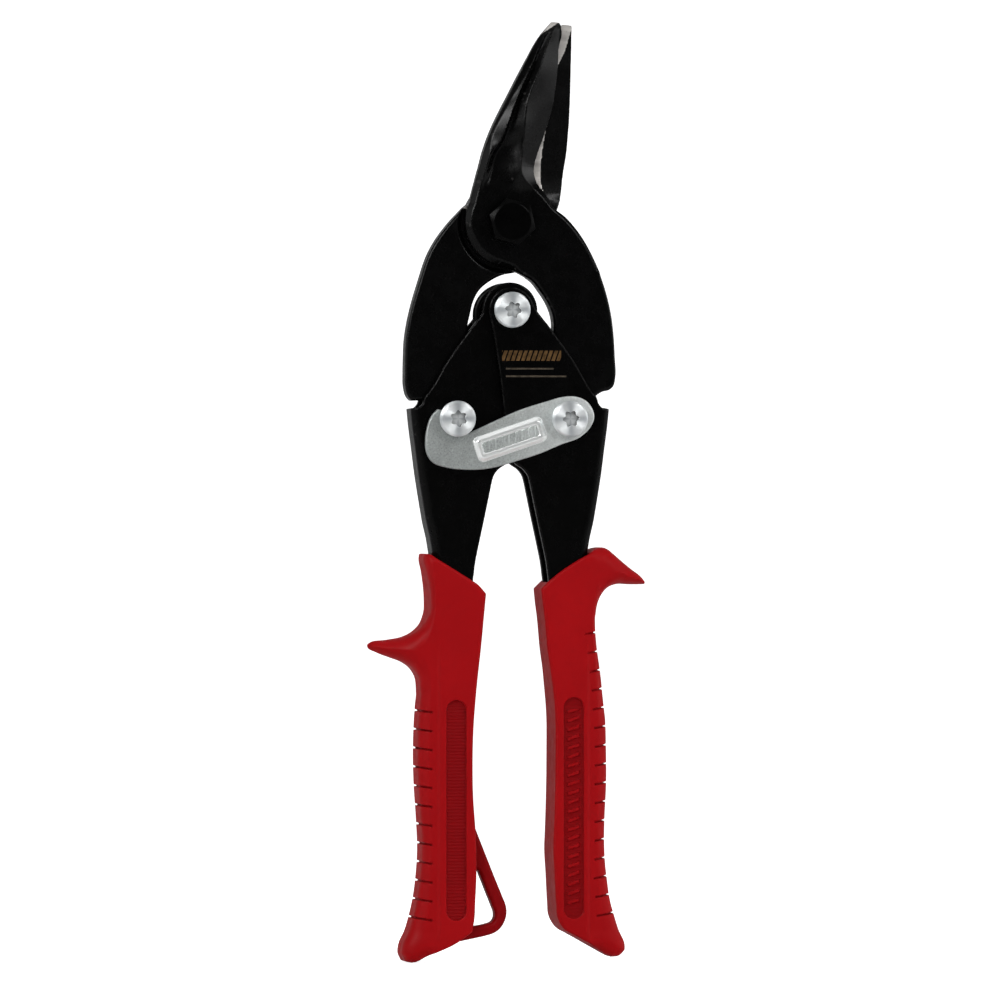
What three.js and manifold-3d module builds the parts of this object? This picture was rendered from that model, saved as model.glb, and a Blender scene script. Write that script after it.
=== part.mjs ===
// Compound-action aviation snips, standing on the butt ends of the grips with the jaws up.
// Millimetres. X across the tool, Y through its thickness (front face towards -Y), Z along its
// length. The origin is the centre of the main bolt's head, on its front face. The pieces are
// drawn with y = 0 on the shear plane between the blades, in a group moved back by HEAD_FACE.
import * as THREE from 'three';
import Module from 'manifold-3d';
import { mergeVertices } from 'three/addons/utils/BufferGeometryUtils.js';

const wasm = await Module();
wasm.setup();

// ------------------------------------------------------------------ driving dimensions
// Points and outlines are (x, z) pairs.
const BOLT = [0, 0];
const HANDLE_PIVOT = [0, -23.2];  // pivot of the two handles on each other
const RIGHT_LINK = [15.0, -51.9]; // pivot of a blade arm on its handle channel
const LEFT_LINK = [-RIGHT_LINK[0], RIGHT_LINK[1]];
const ARM_T = 6.0;                // thickness of a blade arm
const ARM_IN = 1.85;              // how far each arm reaches past the shear plane
const ARM_OUT = ARM_T - ARM_IN;   // shear plane to the outer face of an arm
const SHEAR = 0.06;               // half gap between the two shear faces
const JAW_T = 8;                  // thickness a jaw is cut from
const BOSS_R = 11.8;              // boss of each blade round the main bolt
const RECESS_R = 12.9;            // recess in the other blade that takes the boss
const BOLT_R = 4.0;               // main bolt shank
const BARREL_R = 3.0;             // link and handle pivot barrels
const PIN_R = 2.2;                // front end of the left link barrel, which the latch hooks
const HEAD_FACE = 8.25;           // front face of the main bolt's head, ahead of the shear plane
const HEX_AF = 11.1;              // main bolt head and nut across flats
const GAP = 0.1;                  // clearance between stacked parts
const WASHER_T = 1.1;
const SHEET = 2.0;                // sheet thickness of the handle channels
const RIGHT_CHANNEL = [-6.4, 4.1];  // outer faces (front y, back y)
const LEFT_CHANNEL = [-4.1, 6.4];
const LATCH = [-8.2, -6.6];       // latch plate (front y, back y)
const LINK_FRONT = -8.75;         // front end of the link barrels
const GRIP_Y = 8.0;               // half depth of a grip
const GUARD_Y = 6.6;              // half depth of a grip's guard
const HEAD_R = 4.75;              // pivot screw heads and barrel flanges
const HEAD_T = 2.35;              // thickness of a pivot screw head
const SWING_RATIO = 55 / 30;      // latch degrees for each degree the handles open
const THROUGH = 20;               // half length of a hole cutter
const PAST = 9;                   // y of a cutter's end beyond the face it opens

// ------------------------------------------------------------------ helpers
function solid(source) {
  const bare = source.clone();
  bare.deleteAttribute('normal');
  bare.deleteAttribute('uv');
  const merged = mergeVertices(bare, 1e-4);
  return new wasm.Manifold(new wasm.Mesh({
    numProp: 3,
    vertProperties: new Float32Array(merged.attributes.position.array),
    triVerts: new Uint32Array(merged.index.array),
  }));
}

// unshared triangles, so that every face is shaded flat
function geometry(body) {
  const { triVerts, vertProperties, numProp } = body.getMesh();
  const positions = new Float32Array(triVerts.length * 3);
  triVerts.forEach((vertex, i) => {
    const start = vertex * numProp;
    positions.set(vertProperties.subarray(start, start + 3), 3 * i);
  });
  const result = new THREE.BufferGeometry();
  result.setAttribute('position', new THREE.BufferAttribute(positions, 3));
  result.computeVertexNormals();
  return result;
}

const mirror = (outline) => outline.map(([x, z]) => [-x, z]);

function extrude(outline, options) {
  const shape = new THREE.Shape(outline.map(([u, v]) => new THREE.Vector2(u, v)));
  return new THREE.ExtrudeGeometry(shape, { bevelEnabled: false, ...options });
}

// an outline extruded through the thickness from y0 to y1
function plate(outline, y0, y1) {
  return solid(extrude(outline, { depth: y1 - y0 }).rotateX(Math.PI / 2).translate(0, y1, 0));
}

// a plate from -halfY to halfY with its long edges rounded over
function softPlate(outline, halfY, radius, bevelSegments) {
  const flat = extrude(outline, {
    depth: 2 * (halfY - radius),
    bevelEnabled: true,
    bevelThickness: radius,
    bevelSize: radius,
    bevelOffset: -radius,
    bevelSegments,
  });
  return solid(flat.rotateX(Math.PI / 2).translate(0, halfY - radius, 0));
}

// an outline in (y, z) extruded along x
function sideProfile(outline, x0, x1) {
  const axes = new THREE.Matrix4().set(0, 0, 1, 0, 1, 0, 0, 0, 0, 1, 0, 0, 0, 0, 0, 1);
  return solid(extrude(outline, { depth: x1 - x0 }).applyMatrix4(axes).translate(x0, 0, 0));
}

// a round bar along y
function rod([x, z], radius, y0, y1, segments) {
  const bar = new THREE.CylinderGeometry(radius, radius, y1 - y0, segments);
  return solid(bar.translate(x, (y0 + y1) / 2, z));
}

const hole = (centre, radius, segments = 24) => rod(centre, radius, -THROUGH, THROUGH, segments);

// a turned body from [radius, y] pairs, which run out, back (+y) and in so that faces point out
function turned([x, z], profile, segments = 32) {
  const points = [...profile, profile[0]].map(([radius, y]) => new THREE.Vector2(radius, y));
  return solid(new THREE.LatheGeometry(points, segments).translate(x, 0, z));
}

function ring(centre, inner, outer, y0, y1, segments = 32) {
  return turned(centre, [[inner, y0], [outer, y0], [outer, y1], [inner, y1]], segments);
}

function box(x0, x1, y0, y1, z0, z1) {
  const block = new THREE.BoxGeometry(x1 - x0, y1 - y0, z1 - z0);
  return solid(block.translate((x0 + x1) / 2, (y0 + y1) / 2, (z0 + z1) / 2));
}

// a large block on the side of the plane through point that normal points to
function beyond(point, normal) {
  const size = 160;
  const block = new THREE.BoxGeometry(size, size, size).translate(0, 0, size / 2);
  block.applyQuaternion(new THREE.Quaternion().setFromUnitVectors(
    new THREE.Vector3(0, 0, 1), new THREE.Vector3(...normal).normalize()));
  return solid(block.translate(...point));
}

// points on a circle, angles in degrees anticlockwise from +x as seen from the front
function arc([centreX, centreZ], radius, from, to, steps) {
  return Array.from({ length: steps + 1 }, (_, i) => {
    const angle = THREE.MathUtils.degToRad(from + (to - from) * i / steps);
    return [centreX + radius * Math.cos(angle), centreZ + radius * Math.sin(angle)];
  });
}

// a point turned about a centre, anticlockwise as seen from the front
function turnAbout([x, z], [centreX, centreZ], degrees) {
  const angle = THREE.MathUtils.degToRad(degrees);
  const dx = x - centreX;
  const dz = z - centreZ;
  return [
    centreX + dx * Math.cos(angle) - dz * Math.sin(angle),
    centreZ + dx * Math.sin(angle) + dz * Math.cos(angle),
  ];
}

function hexBar([x, z], acrossFlats, y0, y1, turn) {
  const radius = acrossFlats / Math.sqrt(3);
  return plate(arc([x, z], radius, -turn, -turn - 300, 5), y0, y1);
}

// ------------------------------------------------------------------ blades
// arm of the front blade (it leads to the right handle)
const RIGHT_ARM = [
  [6, 5.4], [10.4, 5.9], [11.2, 4.4], [14.9, 1.45], [18.7, -3], [22.2, -9], [24.0, -13],
  [25.4, -17], [26.6, -21], [27.35, -25.2], [27.9, -30], [28.3, -35.2], [28.3, -41.3],
  [27.8, -43.2], [26.7, -44.2], [24.8, -44.7], [23.6, -45.4],
  ...arc(RIGHT_LINK, 7.2, 32, -180, 14),
  [8.5, -48.4], [9.2, -44], [10.2, -38], [11.2, -32], [11.8, -27], [11.4, -24.4], [10.25, -21.5],
  [8.2, -18.3], [5.8, -15.4], [3.6, -14.1], [1.6, -13.1], [-0.6, -12.4], [-0.6, -9],
];
// arm of the rear blade (it leads to the left handle)
const LEFT_ARM = [
  [4.2, -9], [4.2, -12.6], [1.5, -13.3], [-1.56, -13.9], [-5.2, -15.7], [-7.7, -17.8],
  [-9.5, -21.1], [-10.3, -24.4], [-10.9, -27], [-10.8, -32], [-10.0, -38], [-9.1, -44],
  [-8.5, -48.4],
  ...arc(LEFT_LINK, 7.2, 0, -212, 14),
  [-22.4, -47.3], [-26.0, -47.1], [-26.9, -46.0], [-27.6, -43.4], [-27.7, -39.5],
  [-27.6, -35.2], [-27.4, -31], [-26.8, -27], [-25.6, -21.8], [-23.8, -16.2], [-22.4, -12],
  [-20.6, -7.8], [-18.4, -4.6], [-16.3, -2], [-13.1, 1.45], [-9.35, 4.6], [-6, 5],
];
// broad blade with its cutting edge to the right
const FRONT_JAW = [
  [-11.4, -0.6], [-10.6, 4.5], [-8.2, 13.7], [-6.7, 19.2], [-4.85, 24.3], [-2.6, 29.1],
  [-0.15, 33.8], [4.13, 41.95], [8.8, 49.8], [11.7, 53.0], [13.3, 52.7], [13.95, 51.2],
  [13.45, 45.5], [13.24, 40.9], [12.7, 36.3], [11.85, 30.8], [10.4, 25.7], [9.14, 21.8],
  [7.5, 17.3], [6.8, 13.6], [7.5, 10.4], [9.5, 7.66], [11.0, 5.4], [9, 0], [0, -6],
];
const REAR_JAW = [
  [11.4, 0], [13.8, 4.1], [15.6, 13.6], [16.4, 18.4], [16.85, 23.2], [17.15, 28.3],
  [17.25, 33.4], [17.4, 42], [17.3, 50.2], [16.9, 52.2], [14.9, 52.4], [13.0, 51.0],
  [11.9, 45.3], [10.9, 39], [9.2, 32], [7.0, 25.4], [4.4, 18.4], [1.6, 12.2], [-4, 10.6], [0, -4],
];
// (y, z) outline of a jaw's depth along its length, y away from the shear plane
const JAW_DEPTH = [
  [0, -20], [ARM_OUT, -20], [ARM_OUT, 8.2], [5.6, 11.5], [6.6, 17], [7.0, 25], [6.4, 33],
  [5.2, 41], [3.9, 47], [2.7, 52], [2.3, 60], [0, 60],
];

function frontBlade() {
  const jaw = plate(FRONT_JAW, -JAW_T, -SHEAR)
    .intersect(sideProfile(mirror(JAW_DEPTH), -40, 40))
    .subtract(beyond([12.9, -1.9, 40.9], [0.56, -0.83, 0.075]))  // ground slope beside the edge
    .subtract(beyond([0.5, -3.4, 36.0], [-0.70, -0.62, 0.36]))   // slope down to the left rim
    .add(rod(BOLT, BOSS_R, -ARM_OUT, -SHEAR, 48));
  const arm = plate(RIGHT_ARM, -ARM_OUT, ARM_IN)
    .subtract(rod(BOLT, RECESS_R, -SHEAR, PAST, 48))
    .subtract(box(0, 40, -SHEAR, PAST, -2.6, 30))
    // the two arms lap at half thickness below the boss
    .subtract(box(-5, 4.7, -SHEAR, PAST, -14.9, 0));
  return jaw.add(arm)
    .subtract(hole(BOLT, BOLT_R + 0.2, 32))
    .subtract(hole(RIGHT_LINK, BARREL_R + 0.2));
}

function rearBlade() {
  const jaw = plate(REAR_JAW, SHEAR, JAW_T)
    .intersect(sideProfile(JAW_DEPTH, -40, 40))
    .subtract(beyond([11.6, 1.9, 40.9], [-0.56, 0.83, 0.075]))  // ground slope beside the edge
    .subtract(beyond([17.2, 2.6, 40.0], [0.72, 0.69, 0.05]))    // slope down to the right rim
    .add(rod(BOLT, BOSS_R, SHEAR, ARM_OUT, 48));
  const arm = plate(LEFT_ARM, -ARM_IN, ARM_OUT)
    .subtract(rod(BOLT, RECESS_R, -PAST, SHEAR, 48))
    .subtract(box(-40, 0, -PAST, SHEAR, 3.6, 30))
    .subtract(box(-0.9, 10, -PAST, SHEAR, -14.9, 0));
  return jaw.add(arm)
    .subtract(hole(BOLT, BOLT_R + 0.2, 32))
    .subtract(hole(LEFT_LINK, BARREL_R + 0.4));
}

// ------------------------------------------------------------------ main pivot
const WASHER_FRONT = ARM_OUT + GAP;
const NUT_FRONT = WASHER_FRONT + WASHER_T + GAP;

function pivotBolt() {
  const chamfer = [
    [0, -HEAD_FACE], [5.35, -HEAD_FACE], [6.7, 0.8 - HEAD_FACE], [6.7, 0], [0, 0],
  ];
  return hexBar(BOLT, HEX_AF, -HEAD_FACE, -ARM_OUT - GAP, 16.5)
    .intersect(turned(BOLT, chamfer, 36))
    .add(rod(BOLT, BOLT_R, -6, 11.6, 32));
}

function pivotWasher() {
  return ring(BOLT, BOLT_R + 0.15, 7.4, WASHER_FRONT, WASHER_FRONT + WASHER_T, 36);
}

// chamfered hexagon with a round collar behind it that holds the nylon ring
function pivotNut() {
  const chamfers = [
    [0, NUT_FRONT], [5.6, NUT_FRONT], [6.6, 6.1], [6.6, 8.7], [5.6, 9.3], [0, 9.3],
  ];
  return hexBar(BOLT, HEX_AF, NUT_FRONT, 9.3, 4)
    .intersect(turned(BOLT, chamfers, 36))
    .add(turned(BOLT, [[0, 9.0], [5.3, 9.0], [5.3, 11.0], [0, 11.0]], 36))
    .subtract(rod(BOLT, 4.75, 9.5, 12, 36))
    .subtract(hole(BOLT, BOLT_R + 0.15, 32));
}

const nylonRing = () => ring(BOLT, BOLT_R + 0.12, 4.62, 9.62, 10.8);

// ------------------------------------------------------------------ handle channels
// right channel, tongue for the grip included
const CHANNEL = [
  ...arc(HANDLE_PIVOT, 6.0, 190, 14, 12),
  [10.77, -28.4], [16.66, -36.6], [21.2, -44.2], [22.9, -46.4], [23.3, -47.8], [24.2, -48.9],
  [26.5, -49.2], [26.05, -53.7], [25.2, -60.1], [24.4, -66.4], [23.4, -72.7], [22.3, -79.1],
  [21.3, -83.4], [20.7, -87], [19.8, -95], [19.4, -110], [20.0, -140], [14.5, -140],
  [12.5, -106], [10.2, -96.5], [9.2, -89.1], [4.6, -67.4], [3.4, -65.4], [0.85, -63.6],
  [-0.6, -58], [-2.1, -49.5], [-2.5, -45.3], [-3.97, -34.5], [-5.15, -27.6],
];
// everything between the two side plates except the web along the outer edge
const HOLLOW = [
  [-30, -10], [40, -10], [40, -47.0], [24.45, -51.4], [24.05, -54], [23.2, -60.1], [22.4, -66.4],
  [21.4, -72.6], [20.3, -79], [19.3, -83.2], [18.7, -87], [17.8, -95], [17.4, -110], [18.0, -142],
  [-30, -142],
];
// slot in the right grip for the tongue
const TONGUE_ROOM = [
  [20.98, -84], [20.95, -87], [20.06, -95], [19.66, -110], [20.26, -140.3], [14.25, -140.3],
  [12.25, -106], [9.95, -96.6], [8.95, -89.1], [8.3, -84],
];

function handleChannel(outline, hollow, [front, back], eyeRadius, link) {
  return plate(outline, front, back)
    .subtract(plate(hollow, front + SHEET, back - SHEET))
    .add(rod(HANDLE_PIVOT, eyeRadius, front, front + SHEET, 40))
    .add(rod(HANDLE_PIVOT, eyeRadius, back - SHEET, back, 40))
    .subtract(hole(HANDLE_PIVOT, BARREL_R + 0.15))
    .subtract(hole(link, BARREL_R + 0.15));
}

const leftHandle = () =>
  handleChannel(mirror(CHANNEL), mirror(HOLLOW), LEFT_CHANNEL, 7.3, LEFT_LINK);
const rightHandle = () => handleChannel(CHANNEL, HOLLOW, RIGHT_CHANNEL, 6.0, RIGHT_LINK);

// ------------------------------------------------------------------ pivot screws and barrels
// six-lobe driver socket
function driverSocket([x, z], radius, y0, y1) {
  const outline = Array.from({ length: 24 }, (_, i) => {
    const angle = THREE.MathUtils.degToRad(15 * i);
    const reach = radius * (0.86 + 0.14 * Math.cos(6 * angle));
    return [x + reach * Math.cos(angle), z + reach * Math.sin(angle)];
  });
  return plate(outline, y0, y1);
}

// pan head just ahead of the barrel's front end, shank down its bore to tip
function screw(centre, barrelFront, tip, shankRadius) {
  const face = barrelFront - GAP - HEAD_T;
  const profile = [
    [0, face], [3.6, face], [4.45, face + 0.5], [HEAD_R, face + 1.2], [HEAD_R, face + HEAD_T],
    [shankRadius, face + HEAD_T], [shankRadius, tip], [0, tip],
  ];
  return turned(centre, profile).subtract(driverSocket(centre, 1.95, face - 1, face + 1.4));
}

// body runs from the axis at its front end to a flange just behind the channel's back face
function barrel(centre, body, channelBack, bore) {
  const seat = channelBack + GAP;
  const profile = [
    ...body, [BARREL_R, seat], [HEAD_R, seat], [HEAD_R, seat + 1.2], [4.2, seat + 1.8],
    [0, seat + 1.8],
  ];
  return turned(centre, profile).subtract(hole(centre, bore));
}

const plainBody = (front) => [[0, front], [BARREL_R, front]];
// latch pin, collar against the left channel's front face, then the barrel proper
const LEFT_LINK_BODY = [
  [0, LINK_FRONT], [PIN_R, LINK_FRONT], [PIN_R, -6.4], [4.2, -6.4], [4.2, LEFT_CHANNEL[0] - GAP],
  [BARREL_R, LEFT_CHANNEL[0] - GAP],
];

// ------------------------------------------------------------------ latch
const LATCH_OUTLINE = [
  [-20.1, -49.4], [-21.7, -51.2], [-22.9, -54.5], [-23.3, -58.2], [-22.9, -61.1],
  [-21.2, -63.5], [-18, -64.7], [-13.4, -65.3], [-7.8, -65.2], [-3.2, -64.3], [0.5, -63.2],
  [7.2, -61.1], [12.9, -58.7], [17.9, -56.8], [20.5, -54.5], [21.8, -51.6], [21.2, -49],
  [19.3, -46.9], [16.7, -46], [14.1, -46], [9.1, -47.3], [2.05, -49.5], [-4, -52.1],
  [-9.2, -54.5], [-11.8, -55.7], [-13.2, -54.9], [-15, -54.6], [-17.2, -53.6], [-17.9, -51.6],
  [-18.6, -49.8],
];
// raised pad on the latch's front face: offsets from its centre, before it is tilted
const PAD_CENTRE = [-0.8, -57.3];
const PAD_TILT = 18.6;
const PAD = [
  [-9.9, -2.2], [-8.6, -3.5], [8.6, -3.5], [9.9, -2.2],
  [9.9, 2.2], [8.6, 3.5], [-8.6, 3.5], [-9.9, 2.2],
];

function latch() {
  const pad = PAD.map(([along, across]) =>
    turnAbout([PAD_CENTRE[0] + along, PAD_CENTRE[1] + across], PAD_CENTRE, PAD_TILT));
  let body = plate(LATCH_OUTLINE, ...LATCH)
    .add(plate(pad, LATCH[0] - 0.9, LATCH[1] - 0.2))
    .subtract(hole(RIGHT_LINK, BARREL_R + 0.2));
  // room for the pin on its way out of the hook, as handles and latch swing together
  for (let opening = 0; opening <= 6.0; opening += 0.75) {
    const swung = turnAbout(LEFT_LINK, HANDLE_PIVOT, -opening);
    // undo the latch's own swing about the right link pivot
    const inLatch = turnAbout(swung, RIGHT_LINK, -opening * SWING_RATIO);
    body = body.subtract(hole(inLatch, PIN_R + 0.3, 16));
  }
  return body;
}

const waveWasher = () => ring(RIGHT_LINK, BARREL_R + 0.2, 4.6, LINK_FRONT, -8.3);

// ------------------------------------------------------------------ opening spring
const WIRE_R = 0.72;
const COIL_R = 7.6;
const TURNS = 1.5;
const PITCH = 1.6;
const COIL_CENTRE = [-0.9, -24.4];  // a little off the handle pivot, loose on its spacer
const LEG_END_Z = -43.5;
const LEG_STATIONS = [0, 0.35, 0.7, 0.92];  // fractions of the way from leg end to coil

const springSpacer = () => ring(HANDLE_PIVOT, BARREL_R + 0.15, 5.0, -1.98, 1.98);

function openingSpring() {
  const [coilX, coilZ] = COIL_CENTRE;
  const backY = PITCH * TURNS / 2;
  // a leg tangent to the coil at tangentX, its end shifted by drift in x
  const leg = (tangentX, drift, y) => LEG_STATIONS.map((f) => new THREE.Vector3(
    tangentX + drift * (1 - f), y, LEG_END_Z + (coilZ - LEG_END_Z) * f));
  const coilSteps = 36;
  const coil = arc(COIL_CENTRE, COIL_R, 0, 360 * TURNS, coilSteps).map(([x, z], i) =>
    new THREE.Vector3(x, -backY + PITCH * TURNS * i / coilSteps, z));
  const extrudePath = new THREE.CatmullRomCurve3([
    ...leg(coilX + COIL_R, 0.4, -backY),
    ...coil,
    ...leg(coilX - COIL_R, 0.7, backY).reverse(),
  ]);
  const wire = new THREE.Shape();
  wire.absarc(0, 0, WIRE_R, 0, 2 * Math.PI, false);
  return solid(new THREE.ExtrudeGeometry(wire, {
    steps: 66, extrudePath, curveSegments: 4, bevelEnabled: false,
  }));
}

// ------------------------------------------------------------------ grips
const LEFT_GRIP = [
  [-23.0, -87.0], [-21.3, -87.5], [-8.9, -95.6], [-7.0, -97.6], [-7.3, -101], [-8.3, -111.5],
  [-9.6, -123.4], [-10.4, -134], [-10.6, -142], [-10.4, -152.5], [-9.9, -159.3], [-9.6, -172.3],
  [-9.9, -178.9], [-10.2, -184.1], [-10.8, -187], [-14.6, -189.7], [-21.6, -192.9],
  [-26.2, -195], [-28.0, -194.7], [-28.9, -192.6], [-28.7, -190.5], [-27.1, -186.8],
  [-25.8, -182.5], [-24.7, -177.5], [-23.9, -170.9], [-23.6, -165.7], [-23.9, -157.7],
  [-24.6, -147.2], [-24.7, -136.6], [-24.2, -127.4], [-23.8, -123.4], [-24.0, -119],
  [-24.6, -116.6], [-24.4, -110], [-22.6, -106.5], [-21.7, -103.9], [-21.5, -99.7],
  [-21.8, -97], [-22.3, -93.1],
];
const LEFT_GUARD = [
  [-20.6, -101], [-21.8, -104.0], [-23.3, -106.3], [-25.3, -108.1], [-28.0, -109.3],
  [-37.3, -110.5], [-38.2, -111.1], [-37.9, -112.3], [-35.2, -113.7], [-31.7, -114.7],
  [-28.5, -115.8], [-25.8, -117.6], [-24.4, -120], [-22.5, -122], [-19, -118],
];
const RIGHT_GRIP = [
  [8.1, -96.2], [10.1, -94.4], [21.1, -87.2], [23.4, -86.1], [25.0, -86.0], [26.6, -86.8],
  [26.8, -92], [25.8, -95.4], [24.2, -98.2], [22.8, -101.5], [22.5, -106.3], [23.0, -111.5],
  [24.1, -118.1], [24.9, -126.1], [25.5, -131.3], [25.7, -138], [25.7, -149.8], [25.4, -155.1],
  [25.2, -163], [25.4, -168.3], [26.0, -173.6], [26.8, -178.9], [27.9, -182.8], [29.2, -186.8],
  [30.8, -190.7], [30.8, -192.1], [29.2, -193.6], [27.0, -193.9], [24.6, -192.6], [20.3, -190],
  [16.3, -187.8], [14.4, -186.8], [11.9, -182.8], [11.7, -180.2], [11.2, -170.9],
  [10.9, -165.7], [11.2, -160.4], [11.7, -141.9], [11.5, -126.1], [10.7, -119.2],
  [9.9, -112.9], [9.1, -104.4], [8.5, -99.7],
];
const RIGHT_GUARD = [
  [22.0, -88], [24.9, -86.3], [27.1, -87.0], [29.0, -88.4], [32.7, -91.2], [36.4, -93.9],
  [37.3, -95.0], [36.9, -95.7], [32.4, -95.5], [28.7, -95.4], [26.3, -96.0], [24.2, -97.9],
  [22.0, -99.5], [20.6, -95],
];
// flat loop on the inner side of the left grip, near its butt end
const LOOP_OUTER = [
  [-11.5, -156], [-9.6, -158.6], [-5.2, -169.9], [-0.8, -180.2], [-0.7, -182.8], [-1.3, -184.9],
  [-3.4, -188.1], [-14.4, -189.9], [-14.4, -186.0], [-11.5, -184.5],
];
const LOOP_HOLE = [
  [-9.0, -171.6], [-7.8, -172.2], [-4.1, -181.2], [-3.9, -183.8], [-4.6, -185.0], [-9.4, -185.6],
];

// cutter(y0, y1) taken from the front and back faces, down to y = -depthY and depthY
function cutBothFaces(body, depthY, cutter) {
  return body.subtract(cutter(depthY, PAST)).subtract(cutter(-PAST, -depthY));
}

function cutGroove(body, x0, x1, z) {
  return cutBothFaces(body, 7.1, (y0, y1) => box(x0, x1, y0, y1, z - 0.9, z + 0.9));
}

// shallow panel with rounded corners
function cutPanel(body, x0, x1, z0, z1, radius) {
  const outline = [
    ...arc([x1 - radius, z0 + radius], radius, -90, 0, 4),
    ...arc([x1 - radius, z1 - radius], radius, 0, 90, 4),
    ...arc([x0 + radius, z1 - radius], radius, 90, 180, 4),
    ...arc([x0 + radius, z0 + radius], radius, 180, 270, 4),
  ];
  return cutBothFaces(body, 7.3, (y0, y1) => plate(outline, y0, y1));
}

function gripBody(outline, guard) {
  return softPlate(outline, GRIP_Y, 1.1, 2).add(softPlate(guard, GUARD_Y, 0.5, 1));
}

const tongueSlot = (outline, [front, back]) => plate(outline, front - 0.25, back + 0.25);

function leftGrip() {
  const loop = plate(LOOP_OUTER, -2.6, 2.6).subtract(plate(LOOP_HOLE, -PAST, PAST));
  let body = gripBody(LEFT_GRIP, LEFT_GUARD)
    .add(loop)
    .subtract(tongueSlot(mirror(TONGUE_ROOM), LEFT_CHANNEL));
  for (let i = 0; i < 12; i++) body = cutGroove(body, -40, -19.3, -129.3 - 5.0 * i);
  return cutPanel(body, -17.6, -12.1, -184, -126, 2.7);
}

function rightGrip() {
  let body = gripBody(RIGHT_GRIP, RIGHT_GUARD).subtract(tongueSlot(TONGUE_ROOM, RIGHT_CHANNEL));
  for (let i = 0; i < 16; i++) {
    // the inner ends drift outwards, faster over the last grooves
    const x = i < 13 ? 19.3 + 0.1 * i : 20.5 + (i - 12);
    body = cutGroove(body, x, 40, -108.8 - 4.96 * i);
  }
  return cutPanel(body, 13.6, 19.0, -183.5, -125, 2.6);
}

// ------------------------------------------------------------------ assembly
const PAINT = {
  black: { color: 0x15171a, roughness: 0.42, metalness: 0.55 },
  bolt: { color: 0x101113, roughness: 0.5, metalness: 0.5 },
  zinc: { color: 0xb9c0c2, roughness: 0.35, metalness: 0.9 },
  latch: { color: 0x9a9e9c, roughness: 0.45, metalness: 0.85 },
  steel: { color: 0x8f8c86, roughness: 0.4, metalness: 0.9 },
  red: { color: 0xa01418, roughness: 0.5, metalness: 0.0 },
  nylon: { color: 0xd9dde0, roughness: 0.6, metalness: 0.0 },
  spring: { color: 0x1d1f22, roughness: 0.4, metalness: 0.7 },
};

const tool = new THREE.Group();
tool.name = 'aviation_snips';
const pieces = new THREE.Group();
pieces.name = 'pieces';
pieces.position.y = HEAD_FACE;
tool.add(pieces);

function add(name, body, look) {
  const mesh = new THREE.Mesh(geometry(body), new THREE.MeshStandardMaterial(PAINT[look]));
  mesh.name = name;
  pieces.add(mesh);
}

add('front_blade', frontBlade(), 'black');
add('rear_blade', rearBlade(), 'black');
add('pivot_bolt', pivotBolt(), 'bolt');
add('pivot_washer', pivotWasher(), 'zinc');
add('pivot_nut', pivotNut(), 'zinc');
add('pivot_nut_nylon_ring', nylonRing(), 'nylon');
add('left_handle', leftHandle(), 'black');
add('right_handle', rightHandle(), 'black');

const [handleFront, rightBack] = RIGHT_CHANNEL;
const leftBack = LEFT_CHANNEL[1];
add('handle_pivot_screw', screw(HANDLE_PIVOT, handleFront, 4, 1.6), 'zinc');
add('handle_pivot_barrel', barrel(HANDLE_PIVOT, plainBody(handleFront), leftBack, 1.75), 'zinc');
add('right_link_screw', screw(RIGHT_LINK, LINK_FRONT, 2, 1.6), 'zinc');
add('right_link_barrel', barrel(RIGHT_LINK, plainBody(LINK_FRONT), rightBack, 1.75), 'zinc');
add('left_link_screw', screw(LEFT_LINK, LINK_FRONT, 3, 1.1), 'zinc');
add('left_link_barrel', barrel(LEFT_LINK, LEFT_LINK_BODY, leftBack, 1.25), 'zinc');

add('latch', latch(), 'latch');
add('latch_wave_washer', waveWasher(), 'steel');
add('spring_spacer', springSpacer(), 'zinc');
add('opening_spring', openingSpring(), 'spring');
add('left_grip', leftGrip(), 'red');
add('right_grip', rightGrip(), 'red');

export default tool;
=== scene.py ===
"""Compound-action aviation snips, standing upright with the jaws up and the grips down.

x runs to the right, y to the back and z up. Shapes are drawn in millimetres from the main
pivot, with y = 0 on the shear plane between the blades; to_metres() takes them to the CAD frame,
whose origin lies on the face of the bolt head. Most pieces are signed distance fields, negative
inside, turned into meshes by surface(). "plan" is always a distance in the (x, z) plane.
"""

import math

import bmesh
import bpy
import numpy as np
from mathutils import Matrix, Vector

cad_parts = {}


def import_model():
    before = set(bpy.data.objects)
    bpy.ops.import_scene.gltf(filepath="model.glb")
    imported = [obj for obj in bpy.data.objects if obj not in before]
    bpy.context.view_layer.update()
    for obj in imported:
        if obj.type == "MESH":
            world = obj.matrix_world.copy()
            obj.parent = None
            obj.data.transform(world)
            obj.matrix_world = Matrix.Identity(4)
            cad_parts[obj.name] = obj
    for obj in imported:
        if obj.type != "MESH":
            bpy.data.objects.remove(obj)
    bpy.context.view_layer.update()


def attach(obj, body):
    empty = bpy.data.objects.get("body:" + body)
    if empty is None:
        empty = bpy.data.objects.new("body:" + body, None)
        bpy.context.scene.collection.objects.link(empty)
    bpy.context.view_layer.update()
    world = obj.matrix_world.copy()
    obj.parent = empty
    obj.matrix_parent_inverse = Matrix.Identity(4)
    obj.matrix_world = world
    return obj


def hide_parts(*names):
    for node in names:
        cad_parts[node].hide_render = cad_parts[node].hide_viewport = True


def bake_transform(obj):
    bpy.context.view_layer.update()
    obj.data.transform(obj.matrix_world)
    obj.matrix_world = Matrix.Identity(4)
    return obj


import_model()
COARSE = 1.0     # every sampling grid is widened by this
F4 = np.float32

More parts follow.
